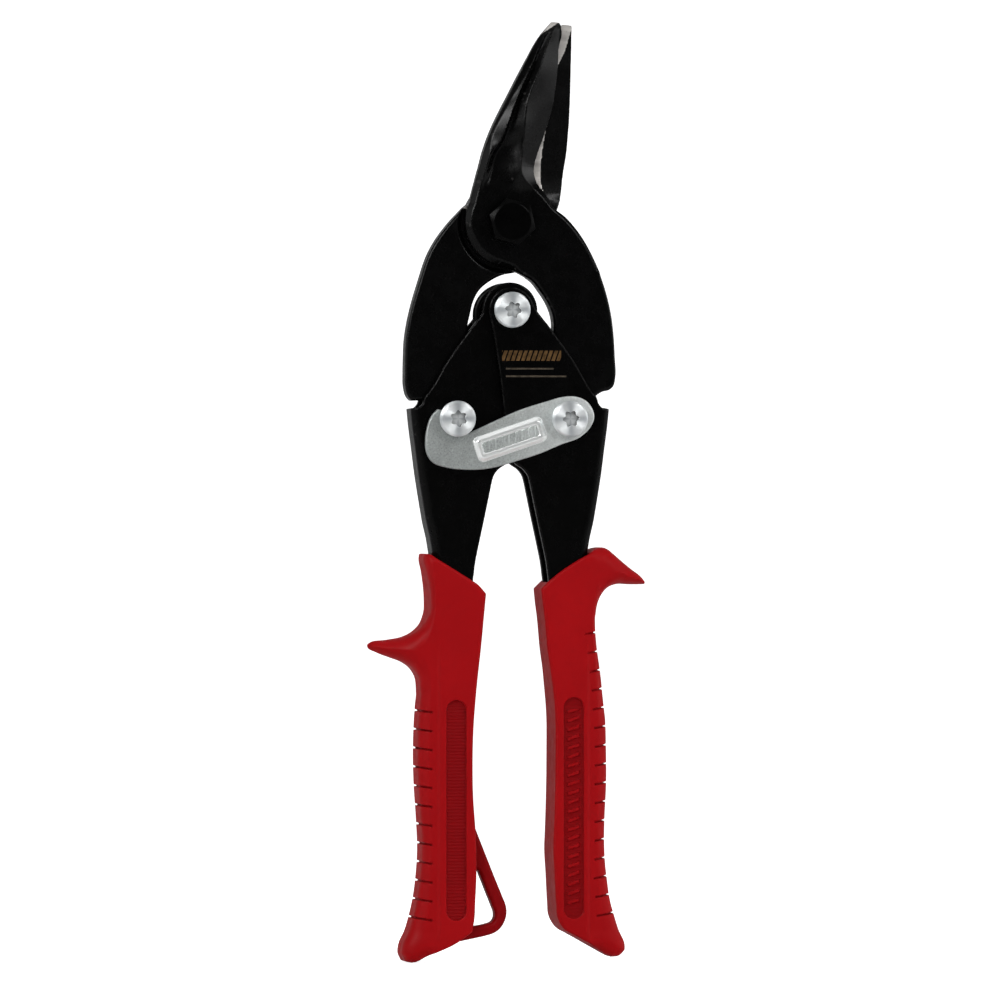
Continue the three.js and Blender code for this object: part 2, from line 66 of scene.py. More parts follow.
FACE = 8.25                             # bolt head face, in front of the shear plane
MAIN_PIVOT = (0.0, 0.0)                 # pivots are (x, z)
HANDLE_PIVOT = (0.0, -23.2)
LINK_X, LINK_Z = 15.0, -51.9
LINK_RIGHT, LINK_LEFT = (LINK_X, LINK_Z), (-LINK_X, LINK_Z)
CHANNEL_FRONT, CHANNEL_BACK = -6.4, 4.1     # y of the right channel; the left is turned over


def to_metres(points):
    points = np.asarray(points, np.float64).copy()
    points[:, 1] += FACE
    return points * 0.001


# ------------------------------------------------------------------ curves
def hermite(u, start, leave, end, arrive):
    """Cubic from start to end, with the two slopes scaled to the span."""
    return ((2 * u**3 - 3 * u**2 + 1) * start + (u**3 - 2 * u**2 + u) * leave
            + (-2 * u**3 + 3 * u**2) * end + (u**3 - u**2) * arrive)


def smooth_outline(points, corner=38.0, sub=5):
    """Smooth closed outline; it stays sharp where it turns by more than `corner` degrees."""
    points = np.array(points, float)
    count = len(points)
    span = np.roll(points, -1, 0) - points
    length = np.hypot(span[:, 0], span[:, 1])
    heading = span / np.maximum(length, 1e-9)[:, None]

    def tangent(i, leaving):
        before, after = heading[i - 1], heading[i]
        turned = math.degrees(math.acos(max(-1, min(1, float(before @ after)))))
        if turned > corner:
            return after if leaving else before
        mean = before * length[i] + after * length[i - 1]
        return mean / max(np.hypot(*mean), 1e-9)

    outline = []
    for i in range(count):
        j = (i + 1) % count
        leave, arrive = tangent(i, True) * length[i], tangent(j, False) * length[i]
        outline += [hermite(s / sub, points[i], leave, points[j], arrive) for s in range(sub)]
    return np.array(outline)


def open_outline(points):
    """Smooth line through points: a closed outline without the five points of its last span."""
    return smooth_outline(points, corner=60)[:-5]


def arc(centre, radius, start, end, count):
    """Points on an arc, angles in degrees."""
    angles = [math.radians(start + (end - start) * i / count) for i in range(count + 1)]
    return [(centre[0] + radius * math.cos(a), centre[1] + radius * math.sin(a)) for a in angles]


def mirror(points):
    return [(-x, z) for x, z in points]


def turn(point, centre, degrees):
    """A point turned about centre, clockwise as seen from the front."""
    angle = math.radians(degrees)
    dx, dz = point[0] - centre[0], point[1] - centre[1]
    return (centre[0] + dx * math.cos(angle) + dz * math.sin(angle),
            centre[1] - dx * math.sin(angle) + dz * math.cos(angle))


def stations(z, values):
    """Monotone cubic through values at rising z, held flat outside."""
    z, values = np.array(z, float), np.array(values, float)
    dz = np.diff(z)
    chord = np.diff(values) / dz
    slope = np.zeros(len(z))
    for i in range(1, len(z) - 1):
        if chord[i - 1] * chord[i] > 0:
            w1, w2 = 2 * dz[i] + dz[i - 1], dz[i] + 2 * dz[i - 1]
            slope[i] = (w1 + w2) / (w1 / chord[i - 1] + w2 / chord[i])
    slope[0], slope[-1] = chord[0], chord[-1]
    fine = np.linspace(z[0], z[-1], 1500)
    k = np.clip(np.searchsorted(z, fine, side="right") - 1, 0, len(z) - 2)
    u = (fine - z[k]) / dz[k]
    smooth = hermite(u, values[k], dz[k] * slope[k], values[k + 1], dz[k] * slope[k + 1])
    return lambda v: np.interp(v, fine, smooth).astype(F4)


def x_along(points):
    """x as a smooth function of z along points with rising z."""
    return stations([z for _, z in points], [x for x, _ in points])


# ------------------------------------------------------------------ distance fields
class Outline:
    """Signed distance to an outline in (x, z), sampled on a fine grid; unsigned for a line."""

    def __init__(self, points, spacing=0.22, pad=4.0, open_line=False):
        points = np.asarray(points, F4)
        self.h = h = spacing * COARSE
        self.low = low = points.min(0) - pad
        high = points.max(0) + pad
        self.nx, self.nz = np.ceil((high - low) / h).astype(int) + 2
        X, Z = np.meshgrid(low[0] + h * np.arange(self.nx, dtype=F4),
                           low[1] + h * np.arange(self.nz, dtype=F4), indexing="ij")
        squared = np.full(X.shape, 1e9, F4)
        inside = np.zeros(X.shape, bool)
        count = len(points)
        for i in range(count - 1 if open_line else count):
            ax, az = points[i]
            bx, bz = points[(i + 1) % count]
            ex, ez = bx - ax, bz - az
            length2 = ex * ex + ez * ez
            if length2 < 1e-10:
                continue
            wx, wz = X - ax, Z - az
            t = np.clip((wx * ex + wz * ez) / length2, 0, 1)
            np.minimum(squared, (wx - ex * t) ** 2 + (wz - ez * t) ** 2, out=squared)
            if abs(ez) > 1e-12 and not open_line:
                inside ^= ((az > Z) != (bz > Z)) & (X < ax + (Z - az) * (ex / ez))
        distance = np.sqrt(squared)
        self.values = distance if open_line else np.where(inside, -distance, distance).astype(F4)

    def __call__(self, x, z):
        u = (x - self.low[0]) / self.h
        w = (z - self.low[1]) / self.h
        uc = np.clip(u, 0, self.nx - 1.001)
        wc = np.clip(w, 0, self.nz - 1.001)
        i = uc.astype(np.int32)
        k = wc.astype(np.int32)
        fu, fw = (uc - i).astype(F4), (wc - k).astype(F4)
        F = self.values
        value = ((F[i, k] * (1 - fu) + F[i + 1, k] * fu) * (1 - fw)
                 + (F[i, k + 1] * (1 - fu) + F[i + 1, k + 1] * fu) * fw)
        return value + self.h * np.hypot(u - uc, w - wc)


def smin(a, b, k):
    """Union with a fillet of about k."""
    h = np.clip(0.5 + 0.5 * (b - a) / k, 0, 1)
    return b * (1 - h) + a * h - k * h * (1 - h)


def smax(a, b, k):
    """Intersection with an edge rounded by about k."""
    return -smin(-a, -b, k)


def ease(start, end, v):
    """0 at start, 1 at end, smooth between."""
    t = np.clip((v - start) / (end - start), 0, 1)
    return t * t * (3 - 2 * t)


def radial(x, z, centre=MAIN_PIVOT):
    return np.hypot(x - centre[0], z - centre[1])


def drill(solid, x, z, centre, radius):
    return np.maximum(solid, radius - radial(x, z, centre))


def rounded(a, b, r):
    """Intersection of a and b with its convex edges rounded by r."""
    a, b = a + r, b + r
    return np.minimum(np.maximum(a, b), 0) + np.hypot(np.maximum(a, 0), np.maximum(b, 0)) - r


def slab(plan, y, front, back, r):
    """plan extruded from front to back, edges rounded by r."""
    return rounded(plan, np.abs(y - (front + back) / 2) - (back - front) / 2, r)


def slot_plan(x, z, x0, x1, z0, z1):
    """Upright slot with round ends."""
    r = (x1 - x0) / 2
    dz = np.maximum(np.maximum(z0 + r - z, z - (z1 - r)), 0)
    return np.hypot(x - (x0 + x1) / 2, dz) - r


# ------------------------------------------------------------------ meshes
def surface(field, low, high, spacing):
    """Quads on the zero surface of field(x, y, z): points, quads and normals."""
    h = spacing * COARSE
    low = np.array(low, float) - 2 * h
    n = np.ceil((np.array(high, float) + 2 * h - low) / h).astype(int) + 1
    axes = [(low[i] + h * np.arange(n[i])).astype(F4) for i in range(3)]
    values = np.empty(tuple(n), F4)
    layers = max(1, int(900000 // (n[0] * n[1])))    # z layers at a time, to save memory
    for k in range(0, n[2], layers):
        grid = np.meshgrid(axes[0], axes[1], axes[2][k:k + layers], indexing="ij")
        values[:, :, k:k + layers] = field(*grid)

    # one point in each cell the surface passes, at the mean of its edge crossings
    inside = values < 0
    corners = np.zeros(tuple(n - 1), np.int8)
    for a, b, c in np.ndindex(2, 2, 2):
        corners += inside[a:n[0] - 1 + a, b:n[1] - 1 + b, c:n[2] - 1 + c]
    active = (corners > 0) & (corners < 8)
    cells = np.argwhere(active)
    ids = np.full(active.shape, -1, np.int64)
    ids[tuple(cells.T)] = np.arange(len(cells))
    total = np.zeros((len(cells), 3))
    crossings = np.zeros(len(cells))
    for axis in range(3):
        for corner in np.ndindex(2, 2):
            start, end = np.insert(corner, axis, 0), np.insert(corner, axis, 1)
            f0, f1 = (values[tuple((cells + o).T)] for o in (start, end))
            crosses = (f0 < 0) != (f1 < 0)
            place_on_edge = np.tile(start.astype(float), (len(cells), 1))
            place_on_edge[:, axis] += np.where(crosses, f0 / np.where(crosses, f0 - f1, 1), 0)
            total += place_on_edge * crosses[:, None]
            crossings += crosses
    points = low + h * (cells + total / crossings[:, None])

    # one quad round each grid edge the surface crosses
    quads = []
    for axis in range(3):
        first = [slice(1, size - 1) for size in n]
        second = list(first)
        first[axis], second[axis] = slice(0, n[axis] - 1), slice(1, n[axis])
        starts = inside[tuple(first)]
        crosses = starts != inside[tuple(second)]
        base = np.argwhere(crosses) + 1
        base[:, axis] -= 1
        one, two = np.delete(np.eye(3, dtype=int), axis, 0)
        ring = np.stack([ids[tuple((base - o).T)] for o in (one + two, two, 0 * one, one)], 1)
        start_inside = starts[crosses]
        backwards = start_inside if axis == 1 else ~start_inside
        ring[backwards] = ring[backwards][:, ::-1]
        quads.append(ring)
    quads = np.concatenate(quads)
    quads = quads[(quads >= 0).all(1)]

    def at(places):
        return field(*(column.astype(F4) for column in places.T))

    def gradient(places):
        probe = 0.03
        result = np.empty_like(places)
        for axis in range(3):
            shift = np.zeros(3)
            shift[axis] = probe
            result[:, axis] = (at(places + shift) - at(places - shift)) / (2 * probe)
        return result

    # Newton steps onto the surface, each held to 0.45 of a cell
    for _ in range(3):
        value, slope = at(points), gradient(points)
        move = -(value / np.maximum((slope * slope).sum(1), 0.15))[:, None] * slope
        length = np.linalg.norm(move, axis=1)
        move *= np.minimum(1, 0.45 * h / np.maximum(length, 1e-9))[:, None]
        points = points + move
    slope = gradient(points)
    return points, quads, slope / np.maximum(np.linalg.norm(slope, axis=1), 1e-9)[:, None]


def add_object(name, data):
    ob = bpy.data.objects.new(name, data)
    bpy.context.scene.collection.objects.link(ob)
    return ob


def quad_object(name, points, quads, normals, attributes):
    mesh = bpy.data.meshes.new(name)
    mesh.vertices.add(len(points))
    mesh.vertices.foreach_set("co", to_metres(points).astype(F4).ravel())
    mesh.loops.add(quads.size)
    mesh.loops.foreach_set("vertex_index", quads.ravel().astype(np.int32))
    mesh.polygons.add(len(quads))
    mesh.polygons.foreach_set("loop_start", (np.arange(len(quads)) * 4).astype(np.int32))
    mesh.polygons.foreach_set("loop_total", np.full(len(quads), 4, np.int32))
    mesh.update(calc_edges=True)
    mesh.validate(clean_customdata=False)
    mesh.polygons.foreach_set("use_smooth", np.ones(len(mesh.polygons), bool))
    mesh.normals_split_custom_set_from_vertices([tuple(v) for v in normals])
    for key, values in attributes.items():
        attribute = mesh.attributes.new(key, "FLOAT", "POINT")
        attribute.data.foreach_set("value", np.asarray(values, F4))
    return add_object(name, mesh)


def face_object(name, points, faces, crease=180):
    """Smooth closed mesh with edges sharper than `crease` degrees left sharp."""
    mesh = bpy.data.meshes.new(name)
    mesh.from_pydata([tuple(v) for v in to_metres(points)], [], faces)
    bm = bmesh.new()
    bm.from_mesh(mesh)
    bmesh.ops.recalc_face_normals(bm, faces=bm.faces)
    for face in bm.faces:
        face.smooth = True
    for edge in bm.edges:
        if edge.calc_face_angle(0) > math.radians(crease):
            edge.smooth = False
    bm.to_mesh(mesh)
    bm.free()
    return add_object(name, mesh)


def place(ob, body, part, material):
    ob.data.materials.append(material)
    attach(ob, body)
    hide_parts(part)


def build(name, field, low, high, spacing, body, part, material, attributes=None):
    """Meshes a field between two corners; attributes(points, normals) gives its attributes."""
    points, quads, normals = surface(field, low, high, spacing)
    values = attributes(points, normals) if attributes else {}
    place(quad_object(name, points, quads, normals, values), body, part, material)


# ------------------------------------------------------------------ node trees
class Tree:
    """Emptied node tree of a material or world. Most methods add a node, return its output."""

    def __init__(self, owner, output):
        owner.use_nodes = True
        self.nodes, self.links = owner.node_tree.nodes, owner.node_tree.links
        self.nodes.clear()
        self.output = self.add(output)

    def add(self, kind, **settings):
        node = self.nodes.new("ShaderNode" + kind)
        for key, value in settings.items():
            setattr(node, key, value)
        return node

    def feed(self, socket, value):
        """Links a socket into an input, or stores a plain value there."""
        if isinstance(value, bpy.types.NodeSocket):
            self.links.new(value, socket)
        else:
            socket.default_value = value

    def locate(self, output="Object"):
        self.coords = self.add("TexCoord").outputs[output]

    def separate(self):
        node = self.add("SeparateXYZ")
        self.feed(node.inputs[0], self.coords)
        return node.outputs

    def noise(self, scale, detail=3.0, roughness=0.55, stretch=None):
        node = self.add("TexNoise")
        for key, value in (("Scale", scale), ("Detail", detail), ("Roughness", roughness)):
            node.inputs[key].default_value = value
        coords = self.coords
        if stretch:
            mapping = self.add("Mapping")
            mapping.inputs["Scale"].default_value = stretch
            self.feed(mapping.inputs[0], coords)
            coords = mapping.outputs[0]
        self.feed(node.inputs["Vector"], coords)
        return node.outputs["Fac"]

    def remap(self, value, to=(0, 1), span=(0.3, 0.7), interpolation="LINEAR"):
        """Takes the range span to the range `to`."""
        node = self.add("MapRange", interpolation_type=interpolation)
        keys = ("Value", "From Min", "From Max", "To Min", "To Max")
        for key, given in zip(keys, (value, *span, *to)):
            self.feed(node.inputs[key], given)
        return node.outputs[0]

    def mix(self, factor, first, second, kind="RGBA"):
        """Mix of colours, or of numbers when kind is VALUE."""
        node = self.add("Mix", data_type="FLOAT" if kind == "VALUE" else kind)
        self.feed(node.inputs["Factor"], factor)
        for name, value in (("A", first), ("B", second)):
            socket = next(s for s in node.inputs if s.name == name and s.type == kind)
            self.feed(socket, (*value, 1) if isinstance(value, tuple) else value)
        return next(s for s in node.outputs if s.type == kind)

    def math(self, operation, first, second=0):
        node = self.add("Math", operation=operation)
        self.feed(node.inputs[0], first)
        self.feed(node.inputs[1], second)
        return node.outputs[0]

    def times(self, first, second):
        return self.math("MULTIPLY", first, second)

    def bump(self, height, distance, strength, under=None):
        node = self.add("Bump")
        self.feed(node.inputs["Distance"], distance)
        self.feed(node.inputs["Strength"], strength)
        self.feed(node.inputs["Height"], height)
        if under:
            self.feed(node.inputs["Normal"], under)
        return node.outputs[0]

    def attribute(self, name):
        return self.add("Attribute", attribute_name=name).outputs["Fac"]

    def edges(self, span=(0.53, 0.60)):
        """1 on convex edges."""
        return self.remap(self.add("NewGeometry").outputs["Pointiness"], span=span)

    def mix_shaders(self, factor, first, second):
        node = self.add("MixShader")
        for socket, value in zip(node.inputs, (factor, first, second)):
            self.feed(socket, value)
        self.feed(self.output.inputs[0], node.outputs[0])


class Shader(Tree):
    """Material with one principled shader, textured in object coordinates."""

    def __init__(self, name):
        self.material = bpy.data.materials.new(name)
        super().__init__(self.material, "OutputMaterial")
        self.principled = self.add("BsdfPrincipled")
        self.feed(self.output.inputs[0], self.principled.outputs[0])
        self.locate()

    def surface(self, **inputs):
        for key, value in inputs.items():
            self.feed(self.principled.inputs[key.replace("_", " ")], value)

    def source(self, key):
        return self.principled.inputs[key].links[0].from_socket


# ------------------------------------------------------------------ materials
def scaled(colour, *factors):
    """Colour times one factor or one per channel, held to 1."""
    factors = factors * 3 if len(factors) == 1 else factors
    return tuple(min(1, c * f) for c, f in zip(colour, factors))


def black_steel(name, shade, roughness, specular, wear=0.5, bare=False):
    """Black finish, paler on worn edges; with `bare`, ground steel where that attribute is 1."""
    s = Shader(name)
    cloud = s.noise(scale=60, detail=4, roughness=0.6)
    fine = s.noise(scale=1400, detail=3, roughness=0.6)
    specks = s.noise(scale=3800, detail=2, roughness=0.5)
    grey = (shade, shade, shade)
    colour = s.mix(s.remap(cloud), scaled(grey, 0.75, 0.76, 0.82), scaled(grey, 1.5, 1.48, 1.5))
    speck_mask = s.remap(specks, to=(0, 0.20), span=(0.68, 0.80))
    colour = s.mix(speck_mask, colour, (0.03, 0.029, 0.028))
    edge = s.times(s.edges(), s.remap(s.noise(scale=500, detail=4, roughness=0.7),
                                      to=(0, wear), span=(0.45, 0.62)))
    colour = s.mix(edge, colour, (0.06, 0.058, 0.056))
    gloss = s.remap(s.noise(scale=220, detail=5, roughness=0.65),
                    to=(roughness - 0.03, roughness + 0.05))
    normal = s.bump(fine, distance=0.00002, strength=0.35)
    normal = s.bump(cloud, distance=0.00012, strength=0.25, under=normal)
    if bare:
        mask = s.attribute("bare")
        grind = s.noise(scale=900, detail=3, roughness=0.6, stretch=(0.12, 1, 1.0))
        steel = s.mix(s.remap(grind), (0.44, 0.42, 0.40), (0.66, 0.63, 0.60))
        stain = s.remap(s.noise(scale=240, detail=4, roughness=0.7),
                        to=(0, 0.8), span=(0.58, 0.74))
        steel = s.mix(stain, steel, (0.30, 0.26, 0.22))
        colour = s.mix(mask, colour, steel)
        gloss = s.mix(mask, gloss, s.remap(grind, to=(0.34, 0.52)), kind="VALUE")
        s.surface(Metallic=s.times(mask, 0.9))
        normal = s.bump(s.times(grind, mask), distance=0.00006, strength=0.5, under=normal)
    s.surface(Base_Color=colour, Roughness=gloss, Normal=normal, Specular_IOR_Level=specular)
    return s


def etched_sheet():
    """Coated sheet with one hatched and two thin etched bars on its front face."""
    s = black_steel("coated_sheet_etched", shade=0.0005, roughness=0.25, specular=0.10)
    s.locate()
    axes = s.separate()
    X, Y, Z = (s.times(axes[key], 1000.0) for key in "XYZ")     # millimetres

    def between(v, low, high):
        return s.times(s.math("GREATER_THAN", v, low), s.math("LESS_THAN", v, high))

    def box(x0, x1, z0, z1):
        return s.times(between(X, x0, x1), between(Z, z0, z1))

    front = s.math("LESS_THAN", Y, FACE + CHANNEL_FRONT + 0.05)
    hatch_pitch, hatch_lean, hatch_gap = 1.35, -0.35, 0.30
    slant = s.math("ADD", X, s.times(Z, hatch_lean))
    saw = s.math("FRACT", s.times(slant, 1 / hatch_pitch))
    hatch = between(saw, hatch_gap, 1.1)
    bar = s.times(box(-2.6, 13.2, -36.6, -33.9), hatch)
    thin = s.math("MAXIMUM", box(-1.6, 11.2, -38.9, -38.45), box(-1.6, 14.6, -40.9, -40.45))
    rub = s.remap(s.noise(scale=900, detail=3, roughness=0.6), to=(0.45, 1.0))
    colour = s.source("Base Color")
    colour = s.mix(s.times(s.times(bar, front), rub), colour, (0.135, 0.075, 0.030))
    colour = s.mix(s.times(s.times(thin, front), rub), colour, (0.085, 0.070, 0.052))
    s.surface(Base_Color=colour)
    return s


def zinc(name, base, roughness, grain=0.5, flecked=False):
    """Plated metal with soft clouds and spots; `flecked` adds fine dark and bright flecks."""
    s = Shader(name)
    cloud = s.noise(scale=180, detail=4, roughness=0.6)
    fine = s.noise(scale=2600, detail=3, roughness=0.65)
    colour = s.mix(s.remap(cloud), scaled(base, 0.86), scaled(base, 1.06))
    spots = s.remap(s.noise(scale=700, detail=3, roughness=0.6), to=(0, 0.5), span=(0.64, 0.78))
    colour = s.mix(spots, colour, scaled(base, 0.55, 0.56, 0.6))
    if flecked:
        dark = s.remap(s.noise(scale=2100, detail=2, roughness=0.5),
                       to=(0, 0.6), span=(0.48, 0.66))
        colour = s.mix(dark, colour, scaled(base, 0.52))
        bright = s.remap(s.noise(scale=1700, detail=2, roughness=0.5, stretch=(1, 1, 1.3)),
                         to=(0, 0.5), span=(0.54, 0.70))
        colour = s.mix(bright, colour, scaled(base, 1.5))
    gloss = s.remap(s.noise(scale=420, detail=4, roughness=0.6),
                    to=(roughness - 0.06, roughness + 0.10))
    s.surface(Base_Color=colour, Roughness=gloss, Metallic=1.0,
              Normal=s.bump(fine, distance=0.00003, strength=grain))
    return s


def turned_zinc():
    """Screw heads: turning marks round y, four darker rays of painted reflection and a dull socket
    with painted shade.
    """
    streak = 0.86
    s = zinc("turned_zinc", base=(0.91, 0.94, 0.95), roughness=0.46)
    s.surface(Metallic=0.84, Anisotropic=streak, Anisotropic_Rotation=0.25)
    axes = s.separate()
    # painted reflection: the colour darkens in four rays round the head's axis, copying the pattern
    # its turning marks reflect
    angle = s.math("ARCTAN2", axes["Z"], axes["X"])
    wave = s.math("ABSOLUTE", s.math("COSINE", s.times(angle, 2.0)))
    painted_rays = s.math("POWER", wave, 7.0)
    colour = s.mix(s.times(painted_rays, 0.55), s.source("Base Color"), (0.42, 0.46, 0.49))
    # painted shade: socket walls near black, its floor less so; the socket is also made rougher and
    # without streaks
    socket_shade = s.attribute("socket_shade")
    s.surface(Base_Color=s.mix(socket_shade, colour, (0.05, 0.052, 0.052)))
    plain = s.math("MINIMUM", s.times(socket_shade, 5.0), 1.0)
    s.surface(Roughness=s.mix(plain, s.source("Roughness"), 0.62, kind="VALUE"),
              Anisotropic=s.mix(plain, streak, 0.0, kind="VALUE"),
              Tangent=s.add("Tangent", direction_type="RADIAL", axis="Y").outputs[0])
    return s


def latch_zinc():
    """Plating with painted light towards the right end and painted shade towards the left; polished
    badge painted near white as a painted highlight.
    """
    s = zinc("latch_zinc", base=(0.45, 0.48, 0.47), roughness=0.40, grain=1.6, flecked=True)
    badge_polish_and_highlight = s.attribute("badge")
    # painted light towards the right end, painted shade towards the left end
    colour = s.mix(s.times(s.attribute("painted_light_end"), 0.50), s.source("Base Color"),
                   (0.92, 0.95, 0.94))
    colour = s.mix(s.times(s.attribute("painted_shade_end"), 0.30), colour, (0.20, 0.21, 0.205))
    # the badge is polished (lower roughness) and painted near white as a painted highlight
    s.surface(Base_Color=s.mix(badge_polish_and_highlight, colour, (0.97, 0.99, 0.98)), Metallic=0.62,
              Roughness=s.mix(badge_polish_and_highlight, s.source("Roughness"), 0.22, kind="VALUE"))
    return s


def red_vinyl():
    """Grip vinyl: painted shade on the sunk panels, grooves and loop, set by an attribute, finely
    ribbed across z where `ribs` is 1.
    """
    rib_pitch = 0.00085
    s = Shader("red_vinyl")
    cloud = s.noise(scale=45, detail=4, roughness=0.6)
    middle = s.noise(scale=420, detail=4, roughness=0.6)
    fine = s.noise(scale=3000, detail=3, roughness=0.6)
    colour = s.mix(s.remap(cloud), (0.345, 0.0030, 0.0052), (0.400, 0.0038, 0.0062))
    mottle = s.remap(middle, to=(0, 0.35), span=(0.52, 0.75))
    colour = s.mix(mottle, colour, (0.305, 0.0026, 0.0048))
    # painted highlight: convex edges lighter
    colour = s.mix(s.times(s.edges(span=(0.53, 0.62)), 0.5), colour, (0.42, 0.010, 0.013))
    # painted shade on the sunk panels, in the grooves and on the loop
    colour = s.mix(s.times(s.attribute("painted_grip_shade"), 0.75), colour, (0.170, 0.0012, 0.0030))
    s.surface(Base_Color=colour, Roughness=s.remap(middle, to=(0.38, 0.50)))
    wave = s.math("SINE", s.times(s.separate()["Z"], 2 * math.pi / rib_pitch))
    ribs = s.times(wave, s.attribute("ribs"))
    normal = s.bump(fine, distance=0.00003, strength=0.35)
    normal = s.bump(middle, distance=0.00005, strength=0.25, under=normal)
    normal = s.bump(ribs, distance=0.00010, strength=0.6, under=normal)
    s.surface(Normal=normal, Specular_IOR_Level=0.05, Subsurface_Weight=0.04,
              Subsurface_Radius=(0.002, 0.0004, 0.0003), Subsurface_Scale=0.5)
    return s


def nylon():
    s = Shader("nylon_insert")
    cloud = s.remap(s.noise(scale=300, detail=3))
    s.surface(Base_Color=s.mix(cloud, (0.62, 0.66, 0.70), (0.74, 0.77, 0.80)))
    s.surface(Roughness=s.remap(s.noise(scale=900, detail=3), to=(0.4, 0.6)))
    s.surface(Normal=s.bump(s.noise(scale=1500, detail=3), distance=0.00003, strength=0.4))
    return s


BLADE = black_steel("forged_black", shade=0.0005, roughness=0.26, specular=0.125,
                    bare=True).material
SHEET = black_steel("coated_sheet", shade=0.0005, roughness=0.25, specular=0.10).material
BOLT = black_steel("bolt_black_oxide", shade=0.0004, roughness=0.28, specular=0.055,
                   wear=0.3).material
SPRING = black_steel("spring_wire", shade=0.0009, roughness=0.32, specular=0.12,
                     wear=0.2).material
ZINC = zinc("bright_zinc", base=(0.80, 0.82, 0.84), roughness=0.20).material
HEAD = turned_zinc().material
RED = red_vinyl().material
NYLON = nylon().material
ETCHED = etched_sheet().material
LATCH_ZINC = latch_zinc().material


# ------------------------------------------------------------------ blades
BOSS_R, RECESS_R = 11.8, 12.9       # round the main pivot
BOLT_HOLE_R = 4.2
ARM_Y = 4.15                        # outer face of the arms, from the shear plane
LAP_Y = 1.85                        # how far each arm reaches past the shear plane
CLEARANCE = 0.06                    # from the shear plane to each blade

# outlines, (x, z)
RIGHT_ARM = [
    (6, 5.4), (10.4, 5.9), (11.2, 4.4), (14.9, 1.45), (18.7, -3), (22.2, -9), (25.4, -17),
    (27.35, -25.2), (27.9, -30), (28.2, -35.2), (28.3, -41.3), (27.8, -43.2), (26.7, -44.2),
    (24.8, -44.7), (23.6, -45.4), *arc(LINK_RIGHT, 7.2, 32, -180, 10),
    (8.5, -48.4), (9.2, -44), (10.2, -38), (11.2, -32), (11.8, -27), (11.4, -24.4),
    (10.25, -21.5), (8.2, -18.3), (5.8, -15.4), (3.6, -14.1), (1.6, -13.05), (0, -12.4),
    (-1.5, -11.95), (-3.6, -11.3), (-3.6, -9)]
LEFT_ARM = [
    (4.2, -9), (4.2, -12.6), (1.5, -13.3), (-1.56, -13.9), (-5.2, -15.7), (-7.7, -17.8),
    (-9.5, -21.1), (-10.3, -24.4), (-10.9, -27), (-10.8, -32), (-10.0, -38), (-9.1, -44),
    (-8.5, -48.4), *arc(LINK_LEFT, 7.2, 0, -212, 10),
    (-22.4, -47.3), (-26.0, -47.1), (-26.9, -46.0), (-27.6, -43.4), (-27.7, -39.5),
    (-27.6, -35.2), (-27.4, -31), (-26.8, -27), (-25.6, -21.8), (-23.9, -16.1), (-20.9, -7.7),
    (-18.9, -4.3), (-16.9, -1.6), (-13.9, 1.8), (-10.2, 5.0), (-6, 5.4)]
FRONT_OUTER = [
    (-11.5, -0.6), (-10.75, 4.5), (-9.6, 9.1), (-8.35, 13.7), (-6.85, 19.2), (-4.95, 24.3),
    (-2.65, 29.1), (-0.2, 33.8), (4.1, 41.95), (8.75, 49.8), (11.6, 53.0)]
FRONT_EDGE = [
    (13.45, 45.5), (13.24, 40.9), (12.7, 36.3), (11.85, 30.8), (10.4, 25.7), (9.14, 21.8),
    (7.5, 17.3), (6.8, 13.6), (7.5, 10.4), (9.5, 7.66), (11.0, 5.4)]
FRONT_JAW = [*FRONT_OUTER, (13.6, 52.8), (14.05, 51.8), *FRONT_EDGE, (9, 0), (0, -6)]
REAR_OUTER = [
    (11.4, 0), (13.6, 4.1), (15.3, 13.6), (16.1, 18.4), (16.55, 23.2), (16.9, 28.3),
    (17.05, 33.4), (17.2, 42)]
REAR_EDGE = [
    (13.0, 51.0), (11.9, 45.3), (10.9, 39), (9.2, 32), (7.0, 25.4), (4.4, 18.4), (1.6, 12.2),
    (-4, 10.6)]
REAR_JAW = [*REAR_OUTER, (17.25, 52.1), (14.9, 52.4), *REAR_EDGE, (0, -4)]

right_arm_plan = Outline(smooth_outline(RIGHT_ARM))
left_arm_plan = Outline(smooth_outline(LEFT_ARM))
front_jaw_plan = Outline(smooth_outline(FRONT_JAW, corner=30))
rear_jaw_plan = Outline(smooth_outline(REAR_JAW, corner=30))
front_edge = Outline(open_outline([
    (13.95, 51.2), *FRONT_EDGE, (11.9, 4.2), (14.9, 1.45), (18.7, -3), (22.2, -9), (24, -13)]),
    pad=14, open_line=True)
rear_edge = Outline(open_outline(REAR_EDGE), pad=16, open_line=True)

# jaw sections: a row of z, then the value at each
ridge_height = stations([7, 9, 12, 18, 25, 33, 41, 47, 52.5],
                        [4.15, 4.5, 5.3, 6.4, 7.0, 6.6, 5.4, 4.2, 2.8])
rim_height = stations([5, 9, 14, 20, 28, 36, 44, 52.5], [4.15, 4.3, 4.7, 5.3, 5.9, 5.3, 4.1, 2.5])
hollow_depth = stations([6.5, 9, 12, 16, 20, 24, 30, 38, 45, 49, 52],
                        [0.0, 0.25, 1.1, 2.1, 2.5, 2.3, 1.9, 1.5, 1.1, 0.6, 0.1])
# hollow centre and half width, as fractions of the way from rim to ridge
hollow_centre = stations([8, 17, 22, 30, 52], [0.34, 0.36, 0.50, 0.58, 0.56])
hollow_width = stations([8, 17, 22, 28, 52], [0.20, 0.18, 0.15, 0.15, 0.17])
rim_drop = stations([10, 18.0, 23.0, 31, 36, 40], [0, 0.0, 1.0, 1.0, 0.35, 0.0])
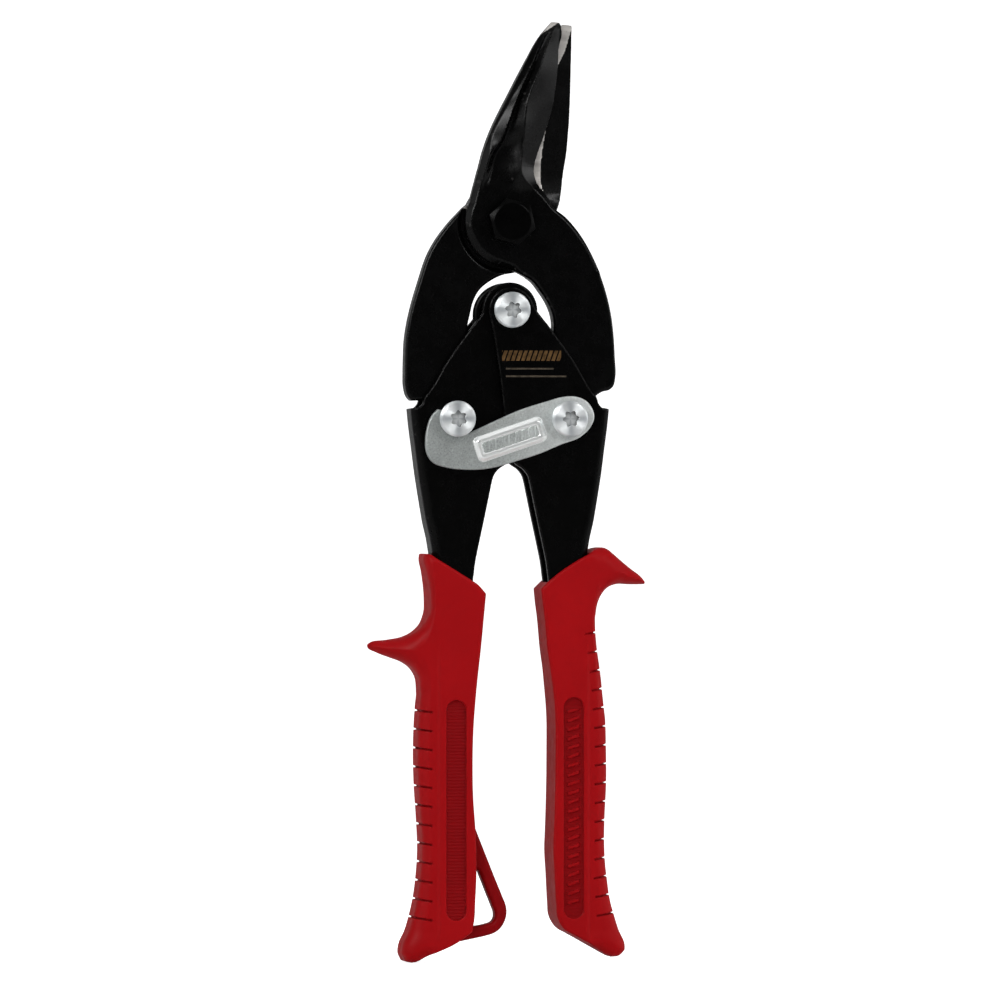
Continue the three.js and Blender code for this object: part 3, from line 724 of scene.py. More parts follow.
# height at the cutting edge and slope away from it
edge_height = stations([-10, -2, 5, 8, 11, 14, 60], [3.6, 3.5, 3.2, 2.7, 1.9, 1.45, 1.45])
edge_slope = stations([4, 12, 18, 25, 33, 40, 47, 52],
                      [1.0, 1.0, 0.95, 0.80, 0.66, 0.72, 0.74, 0.9])
front_outer_x = x_along(FRONT_OUTER)
front_ridge_x = stations([9, 12.5, 17.3, 24.9, 30.6, 34.9, 41.3, 46.9, 52.4],
                         [2.6, 2.6, 3.1, 3.6, 4.0, 5.4, 8.1, 10.2, 12.6])
rear_outer_x = x_along([*REAR_OUTER, (17.2, 50.2), (17.2, 52.4)])
rear_edge_x = x_along([(-2.0, 10.6), *REAR_EDGE[-2::-1]])
rear_relief_x = stations([6, 7.7, 12.5, 17.3, 25, 33, 40.9, 45.5, 50, 52],
                         [10.4, 9.5, 8.6, 8.95, 10.2, 11.6, 13.2, 15.3, 16.6, 17.4])


def jaw_height(x, z, outer_x, ridge_x, edge, sign):
    """Height of a jaw over the shear plane: rim, hollow, ridge and the slope by the edge."""
    span = np.maximum((ridge_x - outer_x) * sign, 0.5)
    u = (x - outer_x) * sign / span
    ridge, rim = ridge_height(z), rim_height(z)
    height = rim + (ridge - rim) * np.clip(u, 0, 1.0) - 0.8 * np.maximum(u - 1, 0)
    centre = hollow_centre(z)
    t = np.where(u < centre, (u - centre) / hollow_width(z), (u - centre) / (1.02 - centre))
    t = np.clip(t, -1, 1)
    wall = (np.sqrt(t * t + 0.02) - 0.1414) / 0.8686
    wall = wall + (np.abs(t) ** 4 - wall) * (1 - ease(20, 27, z))
    height = height - hollow_depth(z) * np.where(t < 0, (1 - t * t) ** 1.5, 1 - wall)
    height = height - rim_drop(z) * 1.35 * np.clip(1 - u / 0.42, 0, 1)
    w = ease(6.5, 11.5, z)              # flat arm below, shaped jaw above
    return smin(ARM_Y * (1 - w) + height * w, edge_height(z) + edge_slope(z) * edge, 0.40)


def tip_distance(x, z):
    """Distance beyond the line where the facet on the tip of the front jaw begins."""
    return (x - 8.7) * -0.55 + (z - 49.75) * 0.835


def front_blade(x, y, z):
    """Front jaw and right arm."""
    rad = radial(x, z)
    plan = np.minimum(np.minimum(right_arm_plan(x, z), rad - BOSS_R), front_jaw_plan(x, z))
    edge = front_edge(x, z)
    face = -y - jaw_height(x, z, front_outer_x(z), front_ridge_x(z), edge, 1.0)
    rounding = 0.18 + 0.85 * ease(0.3, 2.4, edge)
    solid = smax(plan, face * 0.86, rounding)
    chamfer = (1.45 * ease(3.0, 5.5, edge)
               * np.maximum(1 - ease(0.5, 4.5, x), ease(6, 12, z))
               * ease(-15, -12.6, z) * (1 - 0.7 * rim_drop(z)))
    solid = smax(solid, (plan + face + chamfer) * 0.66 - 20.0 * (chamfer < 0.05), 0.22)
    solid = smax(solid, 0.77 * tip_distance(x, z) + 0.64 * (-y - 2.35), 0.12)
    solid = smax(solid, y - LAP_Y, 0.9)
    # cut back to the shear plane round the pivot and over the jaw
    overlap = np.maximum(x - 4.7, -14.9 - z)
    recess = np.maximum(np.minimum(np.minimum(rad - RECESS_R, -(z + 2.6)), overlap),
                        -CLEARANCE - y)
    solid = smax(solid, -recess, 0.16)
    solid = drill(solid, x, z, MAIN_PIVOT, BOLT_HOLE_R)
    return drill(solid, x, z, LINK_RIGHT, 3.2)


def rear_blade(x, y, z):
    """Rear jaw and left arm."""
    rad = radial(x, z)
    plan = np.minimum(np.minimum(left_arm_plan(x, z), rad - BOSS_R), rear_jaw_plan(x, z))
    edge = rear_edge(x, z)
    outer_x, edge_x = rear_outer_x(z), rear_edge_x(z)
    height = jaw_height(x, z, outer_x, edge_x + 0.52 * (outer_x - edge_x), edge, -1.0)
    rounding = 0.18 + 1.15 * ease(0.3, 2.4, edge)
    solid = smax(plan, (y - height) * 0.86, rounding)
    solid = smax(solid, -LAP_Y - y, 0.9)
    # the jaw is relieved behind the strip beside its edge
    relief = 0.24 * smax(x - rear_relief_x(z), 0.0, 0.25) * ease(3.0, 8.0, z)
    overlap = np.maximum(-0.9 - x, -14.9 - z)
    recess = np.maximum(np.minimum(np.minimum(rad - RECESS_R, -(z - 3.6)), overlap),
                        y - (CLEARANCE + relief))
    solid = smax(solid, -recess, 0.16)
    bevel = np.minimum((RECESS_R - rad - LAP_Y - y + 0.85) * 0.707, -0.35 - y)
    solid = smax(solid, bevel, 0.12)
    solid = drill(solid, x, z, MAIN_PIVOT, BOLT_HOLE_R)
    return drill(solid, x, z, LINK_LEFT, 3.4)


def front_bare(points, normals):
    """Ground steel: shear face, tip facet and the wall at the root of the edge."""
    x, y, z = points.T
    facing = normals[:, 1]
    shear = (facing > 0.8) & (np.abs(y + CLEARANCE) < 0.08)
    facet = (tip_distance(x, z) > 0.02) & (-y < 2.9) & (z > 49) & (facing < 0.5)
    by_edge = front_edge(x.astype(F4), z.astype(F4)) < 0.22
    return {"bare": (shear | facet | (by_edge & (-y < 1.35) & (z > 9) & (z < 17))).astype(float)}


def rear_bare(points, normals):
    """Ground steel: shear face short of the relief, and the wall below the edge."""
    x, y, z = points.T
    shear = ((normals[:, 1] < -0.8) & (np.abs(y - CLEARANCE) < 0.08)
             & (x < rear_relief_x(z) + 0.1) & (z > 3.8))
    by_edge = rear_edge(x.astype(F4), z.astype(F4)) < 0.22
    return {"bare": (shear | (by_edge & (y < 1.35) & (z > 9))).astype(float)}


build("blade_front_forging", front_blade, (-12.5, -7.6, -60), (29, 1.9, 54), 0.33,
      "front_blade_body", "front_blade", BLADE, front_bare)
build("blade_rear_forging", rear_blade, (-28.5, -1.9, -60), (18.5, 7.6, 54), 0.33,
      "rear_blade_body", "rear_blade", BLADE, rear_bare)

# ------------------------------------------------------------------ handle channels
# outlines of the right channel, (x, z)
CHANNEL_OUTER = [
    (26.5, -49.2), (26.05, -53.7), (25.2, -60.1), (24.4, -66.4), (23.4, -72.7), (22.3, -79.1),
    (21.3, -83.4), (20.7, -87), (19.8, -95), (19.4, -110), (20.0, -140)]
CHANNEL = [
    *arc(HANDLE_PIVOT, 6.0, 190, 14, 9), (10.77, -28.4), (16.66, -36.6), (21.2, -44.2),
    (22.9, -46.4), (23.3, -47.8), (24.2, -48.9), *CHANNEL_OUTER,
    (14.5, -140), (12.5, -106), (10.2, -96.5), (9.2, -89.1), (8.5, -85.7), (6.9, -78.3),
    (5.5, -71.6), (4.75, -68.1), (4.5, -67.2), (3.5, -65.6), (3.0, -65.1), (0.85, -63.6),
    (-0.6, -58), (-2.1, -49.5), (-2.5, -45.3), (-3.97, -34.5), (-5.15, -27.6)]
ENVELOPE = [(-70, 30), (27.5, 30), (26.6, -45), *CHANNEL_OUTER, (20.1, -150), (-70, -150)]
HOLLOW = [
    (-70, 30), (60, 30), (60, -46.0), (26.3, -47.6), (24.55, -50.4), (24.05, -54),
    (23.2, -60.1), (22.4, -66.4), (21.4, -72.6), (20.3, -79), (19.3, -83.2), (18.7, -87),
    (17.8, -95), (17.4, -110), (18.0, -142), (18.0, -160), (-70, -160)]
SHEET_THICKNESS = 2.0
CHANNEL_HOLE_R = 3.15
channel_plan = Outline(smooth_outline(CHANNEL, corner=42))
envelope_plan = Outline(ENVELOPE, spacing=0.4, pad=2)
hollow_plan = Outline(HOLLOW, spacing=0.4, pad=2)


def channel(x, y, z):
    """Right channel: a sheet folded round the outer side, open towards the middle."""
    envelope = slab(envelope_plan(x, z), y, CHANNEL_FRONT, CHANNEL_BACK, 2.3)
    cavity = slab(hollow_plan(x, z), y, CHANNEL_FRONT + SHEET_THICKNESS,
                  CHANNEL_BACK - SHEET_THICKNESS, 0.7)
    solid = smax(envelope, channel_plan(x, z), 0.38)
    solid = smax(solid, -cavity, 0.30)
    solid = drill(solid, x, z, HANDLE_PIVOT, CHANNEL_HOLE_R)
    return drill(solid, x, z, LINK_RIGHT, CHANNEL_HOLE_R)


def channel_left(x, y, z):
    """The same pressing turned over, with larger eyes round the handle pivot."""
    eye_r, eye_middle_y, eye_offset_y = 7.3, 1.15, 4.25
    webs = np.abs(np.abs(y - eye_middle_y) - eye_offset_y) - SHEET_THICKNESS / 2
    eyes = smax(radial(x, z, HANDLE_PIVOT) - eye_r, webs, 0.38)
    return drill(np.minimum(channel(-x, -y, z), eyes), x, z, HANDLE_PIVOT, CHANNEL_HOLE_R)


build("handle_right_channel", channel, (-6.6, CHANNEL_FRONT, -140.4), (27, CHANNEL_BACK, -16.8),
      0.36, "right_handle_body", "right_handle", ETCHED)
build("handle_left_channel", channel_left, (-27, -CHANNEL_BACK, -140.4),
      (7.4, -CHANNEL_FRONT, -15.8), 0.36,
      "left_handle_body", "left_handle", SHEET)

# ------------------------------------------------------------------ latch
LATCH = [
    (-20.1, -49.4), (-21.7, -51.2), (-22.9, -54.5), (-23.3, -58.2), (-22.9, -61.1),
    (-21.2, -63.5), (-18, -64.7), (-13.4, -65.3), (-7.8, -65.2), (-3.2, -64.3), (0.5, -63.2),
    (7.2, -61.1), (12.9, -58.7), (17.9, -56.8), (20.5, -54.5), (21.8, -51.6), (21.2, -49),
    (19.3, -46.9), (16.7, -46), (14.1, -46), (9.1, -47.3), (2.05, -49.5), (-4, -52.1),
    (-9.2, -54.5), (-11.8, -55.7), (-13.2, -54.9), (-15, -54.6), (-17.2, -53.6),
    (-17.9, -51.6), (-18.6, -49.8)]
LATCH_FRONT, LATCH_BACK = -8.2, -6.6
BADGE_TILT, BADGE_CENTRE = math.radians(18.6), (-0.8, -57.3)
latch_plan = Outline(smooth_outline(LATCH, corner=50, sub=6), spacing=0.16)
# places of the left link in the latch's frame as the handles open from 0 to 6 degrees
notch_path = [turn(turn(LINK_LEFT, HANDLE_PIVOT, opening), LINK_RIGHT, opening * 55 / 30)
              for opening in np.arange(0, 6.01, 0.5)]


def badge(x, z):
    """Height of the raised badge, and the plan distance to its sunk, barred panel."""
    dx, dz = x - BADGE_CENTRE[0], z - BADGE_CENTRE[1]
    u = dx * math.cos(BADGE_TILT) + dz * math.sin(BADGE_TILT)
    v = -dx * math.sin(BADGE_TILT) + dz * math.cos(BADGE_TILT)
    outer = rounded(np.abs(u) - 9.9, np.abs(v) - 3.6, 1.9)
    inner = rounded(np.abs(u) - 8.0, np.abs(v) - 1.75, 0.7)
    from_bar = np.abs((u - 0.28 * v + 50.925) % 1.85 - 0.925)
    bars = ease(0.50, 0.24, from_bar) * ease(-0.25, -0.55, inner)
    return 0.9 * ease(0.0, -1.35, outer) - 0.24 * ease(0.0, -0.35, inner) + 0.22 * bars, inner


def latch(x, y, z):
    height, _ = badge(x, z)
    solid = smax(latch_plan(x, z), (-y + LATCH_FRONT - height) * 0.85, 0.42)
    solid = smax(solid, y - LATCH_BACK, 0.25)
    for centre in notch_path:
        solid = drill(solid, x, z, centre, 2.5)
    return drill(solid, x, z, LINK_RIGHT, 3.2)


def latch_attributes(points, normals):
    x = points[:, 0]
    height, inner = badge(x.astype(F4), points[:, 2].astype(F4))
    front = normals[:, 1] < -0.2
    # badge rim, sunk panel, and the weights of the painted light at the right end and of the
    # painted shade at the left end
    return {"badge": ((height > 0.06) & front & (inner > -0.28)).astype(float),
            "panel": ((inner < -0.5) & front).astype(float),
            "painted_light_end": np.clip((x + 4.0) / 22.0, 0, 1),
            "painted_shade_end": np.clip((2.0 - x) / 22.0, 0, 1)}


build("latch_plate", latch, (-23.6, -9.2, -65.6), (22.1, LATCH_BACK, -45.7), 0.20,
      "latch_body", "latch", LATCH_ZINC, latch_attributes)

# ------------------------------------------------------------------ main bolt and nut
ACROSS_FLATS = 11.1


def hexagon(x, z, degrees):
    distance = np.full(x.shape, -1e9, F4)
    for i in range(3):
        a = math.radians(degrees + 30 + 60 * i)
        flat = np.abs(x * math.cos(a) + z * math.sin(a)) - ACROSS_FLATS / 2
        distance = np.maximum(distance, flat)
    return distance


def bolt(x, y, z):
    shank_r, end = 4.0, 11.6
    rad = radial(x, z)
    head = smax(hexagon(x, z, -16.5), np.abs(y + 6.2) - 2.05, 0.16)
    head = smax(head, (rad - 4.85) * 0.5 - (y + FACE) * 0.866, 0.10)
    shank = np.maximum(rad - shank_r, np.maximum(-6.0 - y, y - end))
    shank = smax(shank, (rad + y - end - 3.5) * 0.707, 0.1)
    return np.minimum(head, shank)


def nut(x, y, z):
    """Hexagon chamfered at both ends, with a hollow collar behind it."""
    rad = radial(x, z)
    solid = smax(hexagon(x, z, -4.0), np.abs(y - 7.375) - 1.925, 0.15)
    solid = smax(solid, (rad - 5.7) * 0.5 - (y - 5.45) * 0.866, 0.12)
    solid = smax(solid, (rad - 5.7) * 0.5 + (y - 9.3) * 0.866, 0.12)
    solid = smin(solid, smax(rad - 5.3, np.abs(y - 9.9) - 1.1, 0.5), 0.2)
    solid = smax(solid, -np.maximum(rad - 4.75, 9.5 - y), 0.1)
    return smax(solid, -(rad - 4.15), 0.1)


def lathe(name, centre, profile, body, part, material=ZINC, bevel=0.12):
    """Piece turned about an axis along y; profile is a closed ring of (radius, y)."""
    segments = 96
    corners = [np.array(p, float) for p in profile]
    ring = []
    for i, corner in enumerate(corners):
        before, after = corners[i - 1] - corner, corners[(i + 1) % len(corners)] - corner
        to_before, to_after = np.linalg.norm(before), np.linalg.norm(after)
        r = min(bevel, to_before * 0.45, to_after * 0.45)
        start, end = corner + before / to_before * r, corner + after / to_after * r
        ring += [(1 - t) ** 2 * start + 2 * t * (1 - t) * corner + t * t * end
                 for t in (0, 0.33, 0.67, 1)]
    angles = 2 * np.pi * np.arange(segments) / segments
    points = [(centre[0] + r * math.cos(a), y, centre[1] + r * math.sin(a))
              for r, y in ring for a in angles]
    faces = []
    for i in range(len(ring)):
        low, high = i * segments, (i + 1) % len(ring) * segments
        for s in range(segments):
            t = (s + 1) % segments
            faces.append((low + s, low + t, high + t, high + s))
    place(face_object(name, points, faces, crease=32), body, part, material)


def washer(inner, outer, front, back):
    return [(inner, front), (outer, front), (outer, back), (inner, back)]


build("main_bolt", bolt, (-6.6, -8.3, -6.6), (6.6, 11.7, 6.6), 0.17,
      "front_blade_body", "pivot_bolt", BOLT)
build("lock_nut", nut, (-6.6, 5.4, -6.6), (6.6, 11.1, 6.6), 0.17,
      "front_blade_body", "pivot_nut", ZINC)
lathe("lock_nut_insert", MAIN_PIVOT, washer(4.12, 4.62, 9.62, 10.8),
      "front_blade_body", "pivot_nut_nylon_ring", material=NYLON, bevel=0.15)
lathe("bolt_washer", MAIN_PIVOT, washer(4.15, 7.4, 4.25, 5.35),
      "front_blade_body", "pivot_washer", bevel=0.25)


# ------------------------------------------------------------------ pivot screws and barrels
def screw(name, centre, front, back, shank_r, body, part, spin):
    """Pan head with a six-lobe socket, built on its own axis with its face at y = 0."""
    length = back - front

    def field(x, y, z):
        rad = radial(x, z)
        crown = 0.16 * np.clip(rad / 4.75, 0, 1) ** 2
        head = smax(rad - 4.72, y - 2.35, 0.25)
        head = smax(head, crown - y, 0.30)
        head = smax(head, (rad - 4.72 - (y - 0.55)) * 0.707, 0.35)
        shank = np.maximum(rad - shank_r, np.maximum(-y, y - length))
        lobes = rad - 2.18 * (0.865 + 0.135 * np.cos(6 * np.arctan2(z, x)))
        socket = np.maximum(lobes * 0.9, y - 0.95)
        return smax(np.minimum(head, shank), -socket, 0.12)

    points, quads, normals = surface(field, (-4.9, -0.1, -4.9), (4.9, length, 4.9), 0.13)
    # weight of the painted shade in the socket: 1 on its walls, 0.4 on its floor
    socket_shade = (radial(points[:, 0], points[:, 2]) < 2.3) & (points[:, 1] > 0.10) & (points[:, 1] < 1.6)
    socket_shade = socket_shade * np.where(np.abs(normals[:, 1]) < 0.78, 1.0, 0.40)
    c, s = math.cos(math.radians(spin)), math.sin(math.radians(spin))
    rotation = np.array([[c, 0, s], [0, 1, 0], [-s, 0, c]])
    points, normals = points @ rotation.T, normals @ rotation.T
    points[:, 1] -= FACE                # the object's location carries the shift
    ob = quad_object(name, points, quads, normals, {"socket_shade": socket_shade})
    ob.location = tuple(to_metres([(centre[0], front, centre[1])])[0])
    place(ob, body, part, HEAD)


def barrel(bore, stem, flange):
    """Profile of a barrel: stem (radius, y) points, then a chamfered flange at the back."""
    back = flange + 1.8
    return [(bore, stem[0][1]), *stem, (3.0, flange), (4.75, flange), (4.75, flange + 1.2),
            (4.2, back), (bore, back)]


# name, centre, head face y, end y, shank radius, body, CAD part, turn in degrees
for row in (
        ("screw_handle_pivot", HANDLE_PIVOT, -8.85, 4.0, 1.6,
         "right_handle_body", "handle_pivot_screw", 12),
        ("screw_link_right", LINK_RIGHT, -11.2, 2.0, 1.6,
         "right_handle_body", "right_link_screw", -6),
        ("screw_link_left", LINK_LEFT, -11.2, 3.0, 1.1,
         "left_handle_body", "left_link_screw", 25)):
    screw(*row)

lathe("barrel_handle_pivot", HANDLE_PIVOT, barrel(1.75, [(3.0, -6.4)], 6.5),
      "right_handle_body", "handle_pivot_barrel")
lathe("barrel_link_right", LINK_RIGHT, barrel(1.75, [(3.0, -8.75)], 4.2),
      "right_handle_body", "right_link_barrel")
stepped_stem = [(2.2, -8.75), (2.2, -6.4), (4.2, -6.4), (4.2, -4.2), (3.0, -4.2)]
lathe("barrel_link_left", LINK_LEFT, barrel(1.25, stepped_stem, 6.5),
      "left_handle_body", "left_link_barrel")
lathe("washer_latch", LINK_RIGHT, washer(3.2, 4.5, -8.72, -8.32),
      "right_handle_body", "latch_wave_washer", bevel=0.1)
lathe("spacer_spring", HANDLE_PIVOT, washer(3.15, 5.0, -1.98, 1.98),
      "right_handle_body", "spring_spacer", bevel=0.2)


# ------------------------------------------------------------------ opening spring
def spring():
    """A coil about y with a straight leg down each side."""
    coil_r, pitch, turns, wire_r = 7.6, 1.6, 1.5, 0.72
    cx, cz, leg_end = -0.9, -24.4, -43.5
    y0 = -pitch * turns / 2
    sides = 20

    def leg(x, lean, y, fractions):
        return [(x + lean * (1 - f), y, leg_end + (cz - leg_end) * f) for f in fractions]

    path = leg(cx + coil_r, 0.4, y0, np.linspace(0, 0.97, 26))
    for i in range(151):
        a = 2 * math.pi * turns * i / 150
        path.append((cx + coil_r * math.cos(a), y0 + pitch * turns * i / 150,
                     cz + coil_r * math.sin(a)))
    path = np.array(path + leg(cx - coil_r, 0.7, -y0, np.linspace(0.97, 0, 26)))
    for _ in range(4):                  # so that the wire bends instead of kinking
        path[1:-1] = 0.25 * path[:-2] + 0.5 * path[1:-1] + 0.25 * path[2:]
    along = np.gradient(path, axis=0)
    along /= np.linalg.norm(along, axis=1)[:, None]
    across = np.array([0, 1.0, 0]) - along[:, 1:2] * along
    across /= np.linalg.norm(across, axis=1)[:, None]
    other = np.cross(along, across)
    radii = np.full(len(path), wire_r)
    radii[0] = radii[-1] = wire_r * 0.75
    points, faces = [], []
    for i in range(len(path)):
        for s in range(sides):
            a = 2 * math.pi * s / sides
            points.append(path[i] + radii[i] * (math.cos(a) * other[i] + math.sin(a) * across[i]))
    ring = [(s, (s + 1) % sides) for s in range(sides)]
    for i in range(len(path) - 1):
        low, high = i * sides, (i + 1) * sides
        faces += [(low + s, high + s, high + t, low + t) for s, t in ring]
    tip, last = len(points), (len(path) - 1) * sides
    points += [path[0] - 0.1 * along[0], path[-1] + 0.1 * along[-1]]
    faces += [(tip, s, t) for s, t in ring]
    faces += [(tip + 1, last + t, last + s) for s, t in ring]
    return face_object("spring_opening", np.array(points), faces)


ob = spring()
ob.data.materials.append(SPRING)
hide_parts("opening_spring")
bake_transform(ob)

# ------------------------------------------------------------------ grips
# outlines, (x, z)
LEFT_GRIP = [
    (-23.2, -88.6), (-23.0, -87.4), (-22.1, -87.4), (-20.2, -88.6), (-14.5, -92.1),
    (-10.8, -94.4), (-9.4, -95.3), (-7.0, -97.9), (-7.3, -101), (-8.3, -111.5), (-9.6, -123.4),
    (-10.4, -134), (-10.6, -142), (-10.4, -152.5), (-9.9, -159.3), (-9.6, -172.3),
    (-9.9, -178.9), (-10.2, -184.1), (-10.8, -187), (-14.6, -189.7), (-21.6, -192.9),
    (-26.2, -195), (-28.0, -194.7), (-28.9, -192.6), (-28.7, -190.5), (-27.1, -186.8),
    (-25.8, -182.5), (-24.7, -177.5), (-23.9, -170.9), (-23.6, -165.7), (-23.9, -157.7),
    (-24.6, -147.2), (-24.7, -136.6), (-24.2, -127.4), (-23.8, -123.4), (-24.0, -119),
    (-24.6, -116.6), (-24.4, -110), (-22.6, -106.5), (-21.7, -103.9), (-21.5, -99.7),
    (-21.8, -96), (-22.5, -92)]
LEFT_GUARD = [
    (-19.5, -99.5), (-21.6, -103.2), (-23.1, -105.9), (-25.2, -107.9), (-28.0, -109.2),
    (-32.5, -110.0), (-37.3, -110.5), (-38.2, -111.2), (-37.9, -112.4), (-35.2, -113.7),
    (-31.7, -114.8), (-28.6, -115.9), (-26.0, -117.6), (-24.4, -120), (-23.6, -124), (-19, -123)]
LOOP = [
    (-12.5, -155), (-10.0, -157.2), (-8.9, -159.9), (-6.4, -166.2), (-4.0, -172.2),
    (-1.7, -177.8), (-0.8, -180.1), (-0.55, -181.6), (-0.7, -183.2), (-1.5, -185.2),
    (-2.6, -186.6), (-4.2, -187.6), (-6.2, -188.2), (-9.0, -188.8), (-14.4, -189.9),
    (-14.4, -186.0), (-12.5, -184.5)]
LOOP_HOLE = [
    (-11.2, -170.2), (-9.2, -170.4), (-8.3, -170.9), (-7.5, -172.6), (-5.9, -176.6),
    (-4.4, -180.3), (-3.8, -182.0), (-3.8, -183.4), (-4.5, -184.5), (-5.8, -185.0),
    (-9.6, -185.7), (-11.6, -186.0)]
RIGHT_GRIP = [
    (7.7, -96.6), (9.8, -94.6), (21.1, -87.2), (23.4, -86.1), (25.0, -86.0), (26.6, -86.8),
    (26.8, -92), (25.8, -95.4), (24.2, -98.2), (22.8, -101.5), (22.5, -106.3), (23.0, -111.5),
    (24.1, -118.1), (24.9, -126.1), (25.5, -131.3), (25.7, -138), (25.7, -149.8),
    (25.4, -155.1), (25.2, -163), (25.4, -168.3), (26.0, -173.6), (26.8, -178.9),
    (27.9, -182.8), (29.2, -186.8), (30.8, -190.7), (30.8, -192.1), (29.2, -193.6),
    (27.0, -193.9), (24.6, -192.6), (20.3, -190), (16.3, -187.8), (14.4, -186.8),
    (11.9, -182.8), (11.7, -180.2), (11.2, -170.9), (10.9, -165.7), (11.1, -160.4),
    (11.5, -141.9), (11.2, -126.1), (10.3, -119.2), (9.4, -112.9), (8.6, -104.4), (8.0, -99.7)]
RIGHT_GUARD = [
    (21.5, -87.2), (23.4, -86.1), (25.0, -86.0), (27.1, -87.0), (29.0, -88.4), (32.7, -91.2),
    (36.4, -93.9), (37.3, -95.0), (36.9, -95.8), (32.4, -95.6), (28.9, -95.5), (26.5, -96.2),
    (24.5, -97.9), (23.2, -100.2), (22.4, -103.5), (19.5, -103), (19, -93)]
# pocket for the end of the right channel
TONGUE = [
    (20.98, -84), (20.95, -87), (20.06, -95), (19.66, -110), (20.26, -140.3), (14.25, -140.3),
    (12.25, -106), (9.95, -96.6), (8.95, -89.1), (8.3, -84)]
GRIP_Y = 8.0                            # half thickness


def make_grip(name, side, outline, guard, tongue, channel_y, grooves, groove_ends, panel,
              band_x, body, part, loop=None):
    """A moulded grip. side is -1 when its outer edge is at low x, +1 at high x.

    grooves are the z of the cuts in the outer edge and groove_ends the x where each stops;
    panel is the sunk slot (x0, x1, z0, z1); band_x is the outer border of the raised band.
    """
    grip_plan = Outline(smooth_outline(outline, corner=36))
    guard_plan = Outline(smooth_outline(guard, corner=60))
    tongue_plan = Outline(tongue, spacing=0.3)
    if loop:
        loop_plan, hole_plan = (Outline(smooth_outline(p, corner=60)) for p in loop)
    grooves, groove_ends = np.array(grooves), np.array(groove_ends, float)
    panel_x = (panel[0] + panel[1]) / 2

    def blank(x, y, z):
        """The grip before its details, its half thickness, distance past the band, and |y|."""
        grip = grip_plan(x, z)
        plan = smin(grip, guard_plan(x, z), 0.8)
        out = (x - band_x) * side
        fade = ease(-104, -122, z) * ease(-190.5, -186, z)
        half = GRIP_Y - 0.42 * ease(0.1, 1.3, out) * fade - 0.030 * np.maximum(out, 0) ** 1.6 * 0.8
        half = half - 2.1 * ease(0.0, 13.0, grip)       # thinner out on the guard
        neck = ease(-126, -116, z)
        rounding = 0.9 + (3.0 + 0.5 * neck) * ease(0.8, 4.5, out) + 1.6 * ease(-0.5, 4.5, grip)
        inner_back = (1.2 + 2.2 * neck) * ease(1.5, 5.0, -out)
        rounding = rounding + np.where(y > 0, inner_back, 0).astype(F4)
        depth = np.sqrt(y * y + 0.01)
        return smax(plan, depth - half, rounding), half, out, depth

    def field(x, y, z):
        bare, half, out, depth = blank(x, y, z)
        # slanted grooves round the outer edge, nearest one only
        pitch = abs(grooves[1] - grooves[0])
        i = np.clip(np.round((grooves[0] - z) / pitch), 0, len(grooves) - 1).astype(np.int32)
        end = groove_ends[i]
        groove_z = grooves[i] + 0.17 * (x - end) * side - 0.35
        cut = 0.38 + 0.26 * ease(0.0, 1.2, out - 1.2)
        groove = np.maximum(np.abs(z - groove_z) - 0.23, (end - x) * side)
        solid = smax(bare, -np.maximum(groove, -bare - cut), 0.16)
        # sunk panel on both faces
        sink = np.maximum(slot_plan(x, z, *panel), (half - 0.75) - depth)
        solid = smax(solid, -sink, 0.25)
        if side > 0:                    # slanted ribs on the panel floor
            along = z - 0.32 * (x - panel_x)
            rib = np.abs((along + 155.0 + 1.2) % 2.4 - 1.2) - 0.46
            rib = np.maximum(np.maximum(rib, np.abs(x - panel_x) - 1.55), depth - (half - 0.30))
            rib = np.maximum(rib, np.abs(z + 154.3) - 26)
            solid = smin(solid, np.maximum(rib, -(depth - (half - 1.2))), 0.22)
        if loop:
            ring = np.maximum(loop_plan(x, z), -hole_plan(x, z))
            solid = smin(solid, slab(ring, y, -2.6, 2.6, 1.1), 0.9)
        pocket = slab(tongue_plan(x, z), y, channel_y[0] - 0.25, channel_y[1] + 0.25, 0.35)
        return smax(solid, -pocket, 0.2)

    def attributes(points, normals):
        x, y, z = (column.astype(F4) for column in points.T)
        bare, half, out, depth = blank(x, y, z)
        slot = slot_plan(x, z, *panel)
        floor = (slot < -0.15) & (depth < half - 0.25) & (depth > half - 1.1)
        sunk = np.clip(-(bare + 0.10) / 0.6, 0, 1)
        # painted shade: the sunk panel floors, the grooves in the outer edge, and the loop set back
        # behind the grip
        painted_grip_shade = sunk * (depth > 4.0) * ((slot < 0.3) | (out > 0))
        painted_grip_shade = np.maximum(painted_grip_shade * 0.75, sunk * (out > 0) * 0.45)
        if loop:
            painted_grip_shade = np.maximum(painted_grip_shade, (loop_plan(x, z) < 0.4) * (bare > 0.3) * 0.75)
        return {"painted_grip_shade": painted_grip_shade, "ribs": floor.astype(float) * (1 if side < 0 else 0.35)}

    extent = np.array(outline + guard + (loop[0] if loop else []), float)
    x0, z0 = extent.min(0) - 0.4
    x1, z1 = extent.max(0) + 0.4
    build(name, field, (x0, -8.1, z0), (x1, 8.1, z1), 0.31, body, part, RED,
          attributes)


make_grip("grip_left_moulding", -1, LEFT_GRIP, LEFT_GUARD, mirror(TONGUE),
          channel_y=(-CHANNEL_BACK, -CHANNEL_FRONT),
          grooves=[-128.8 - 4.97 * i for i in range(12)], groove_ends=[-21.4] * 12,
          panel=(-17.7, -12.4, -183.9, -125.9), band_x=-19.0,
          body="left_handle_body", part="left_grip", loop=(LOOP, LOOP_HOLE))
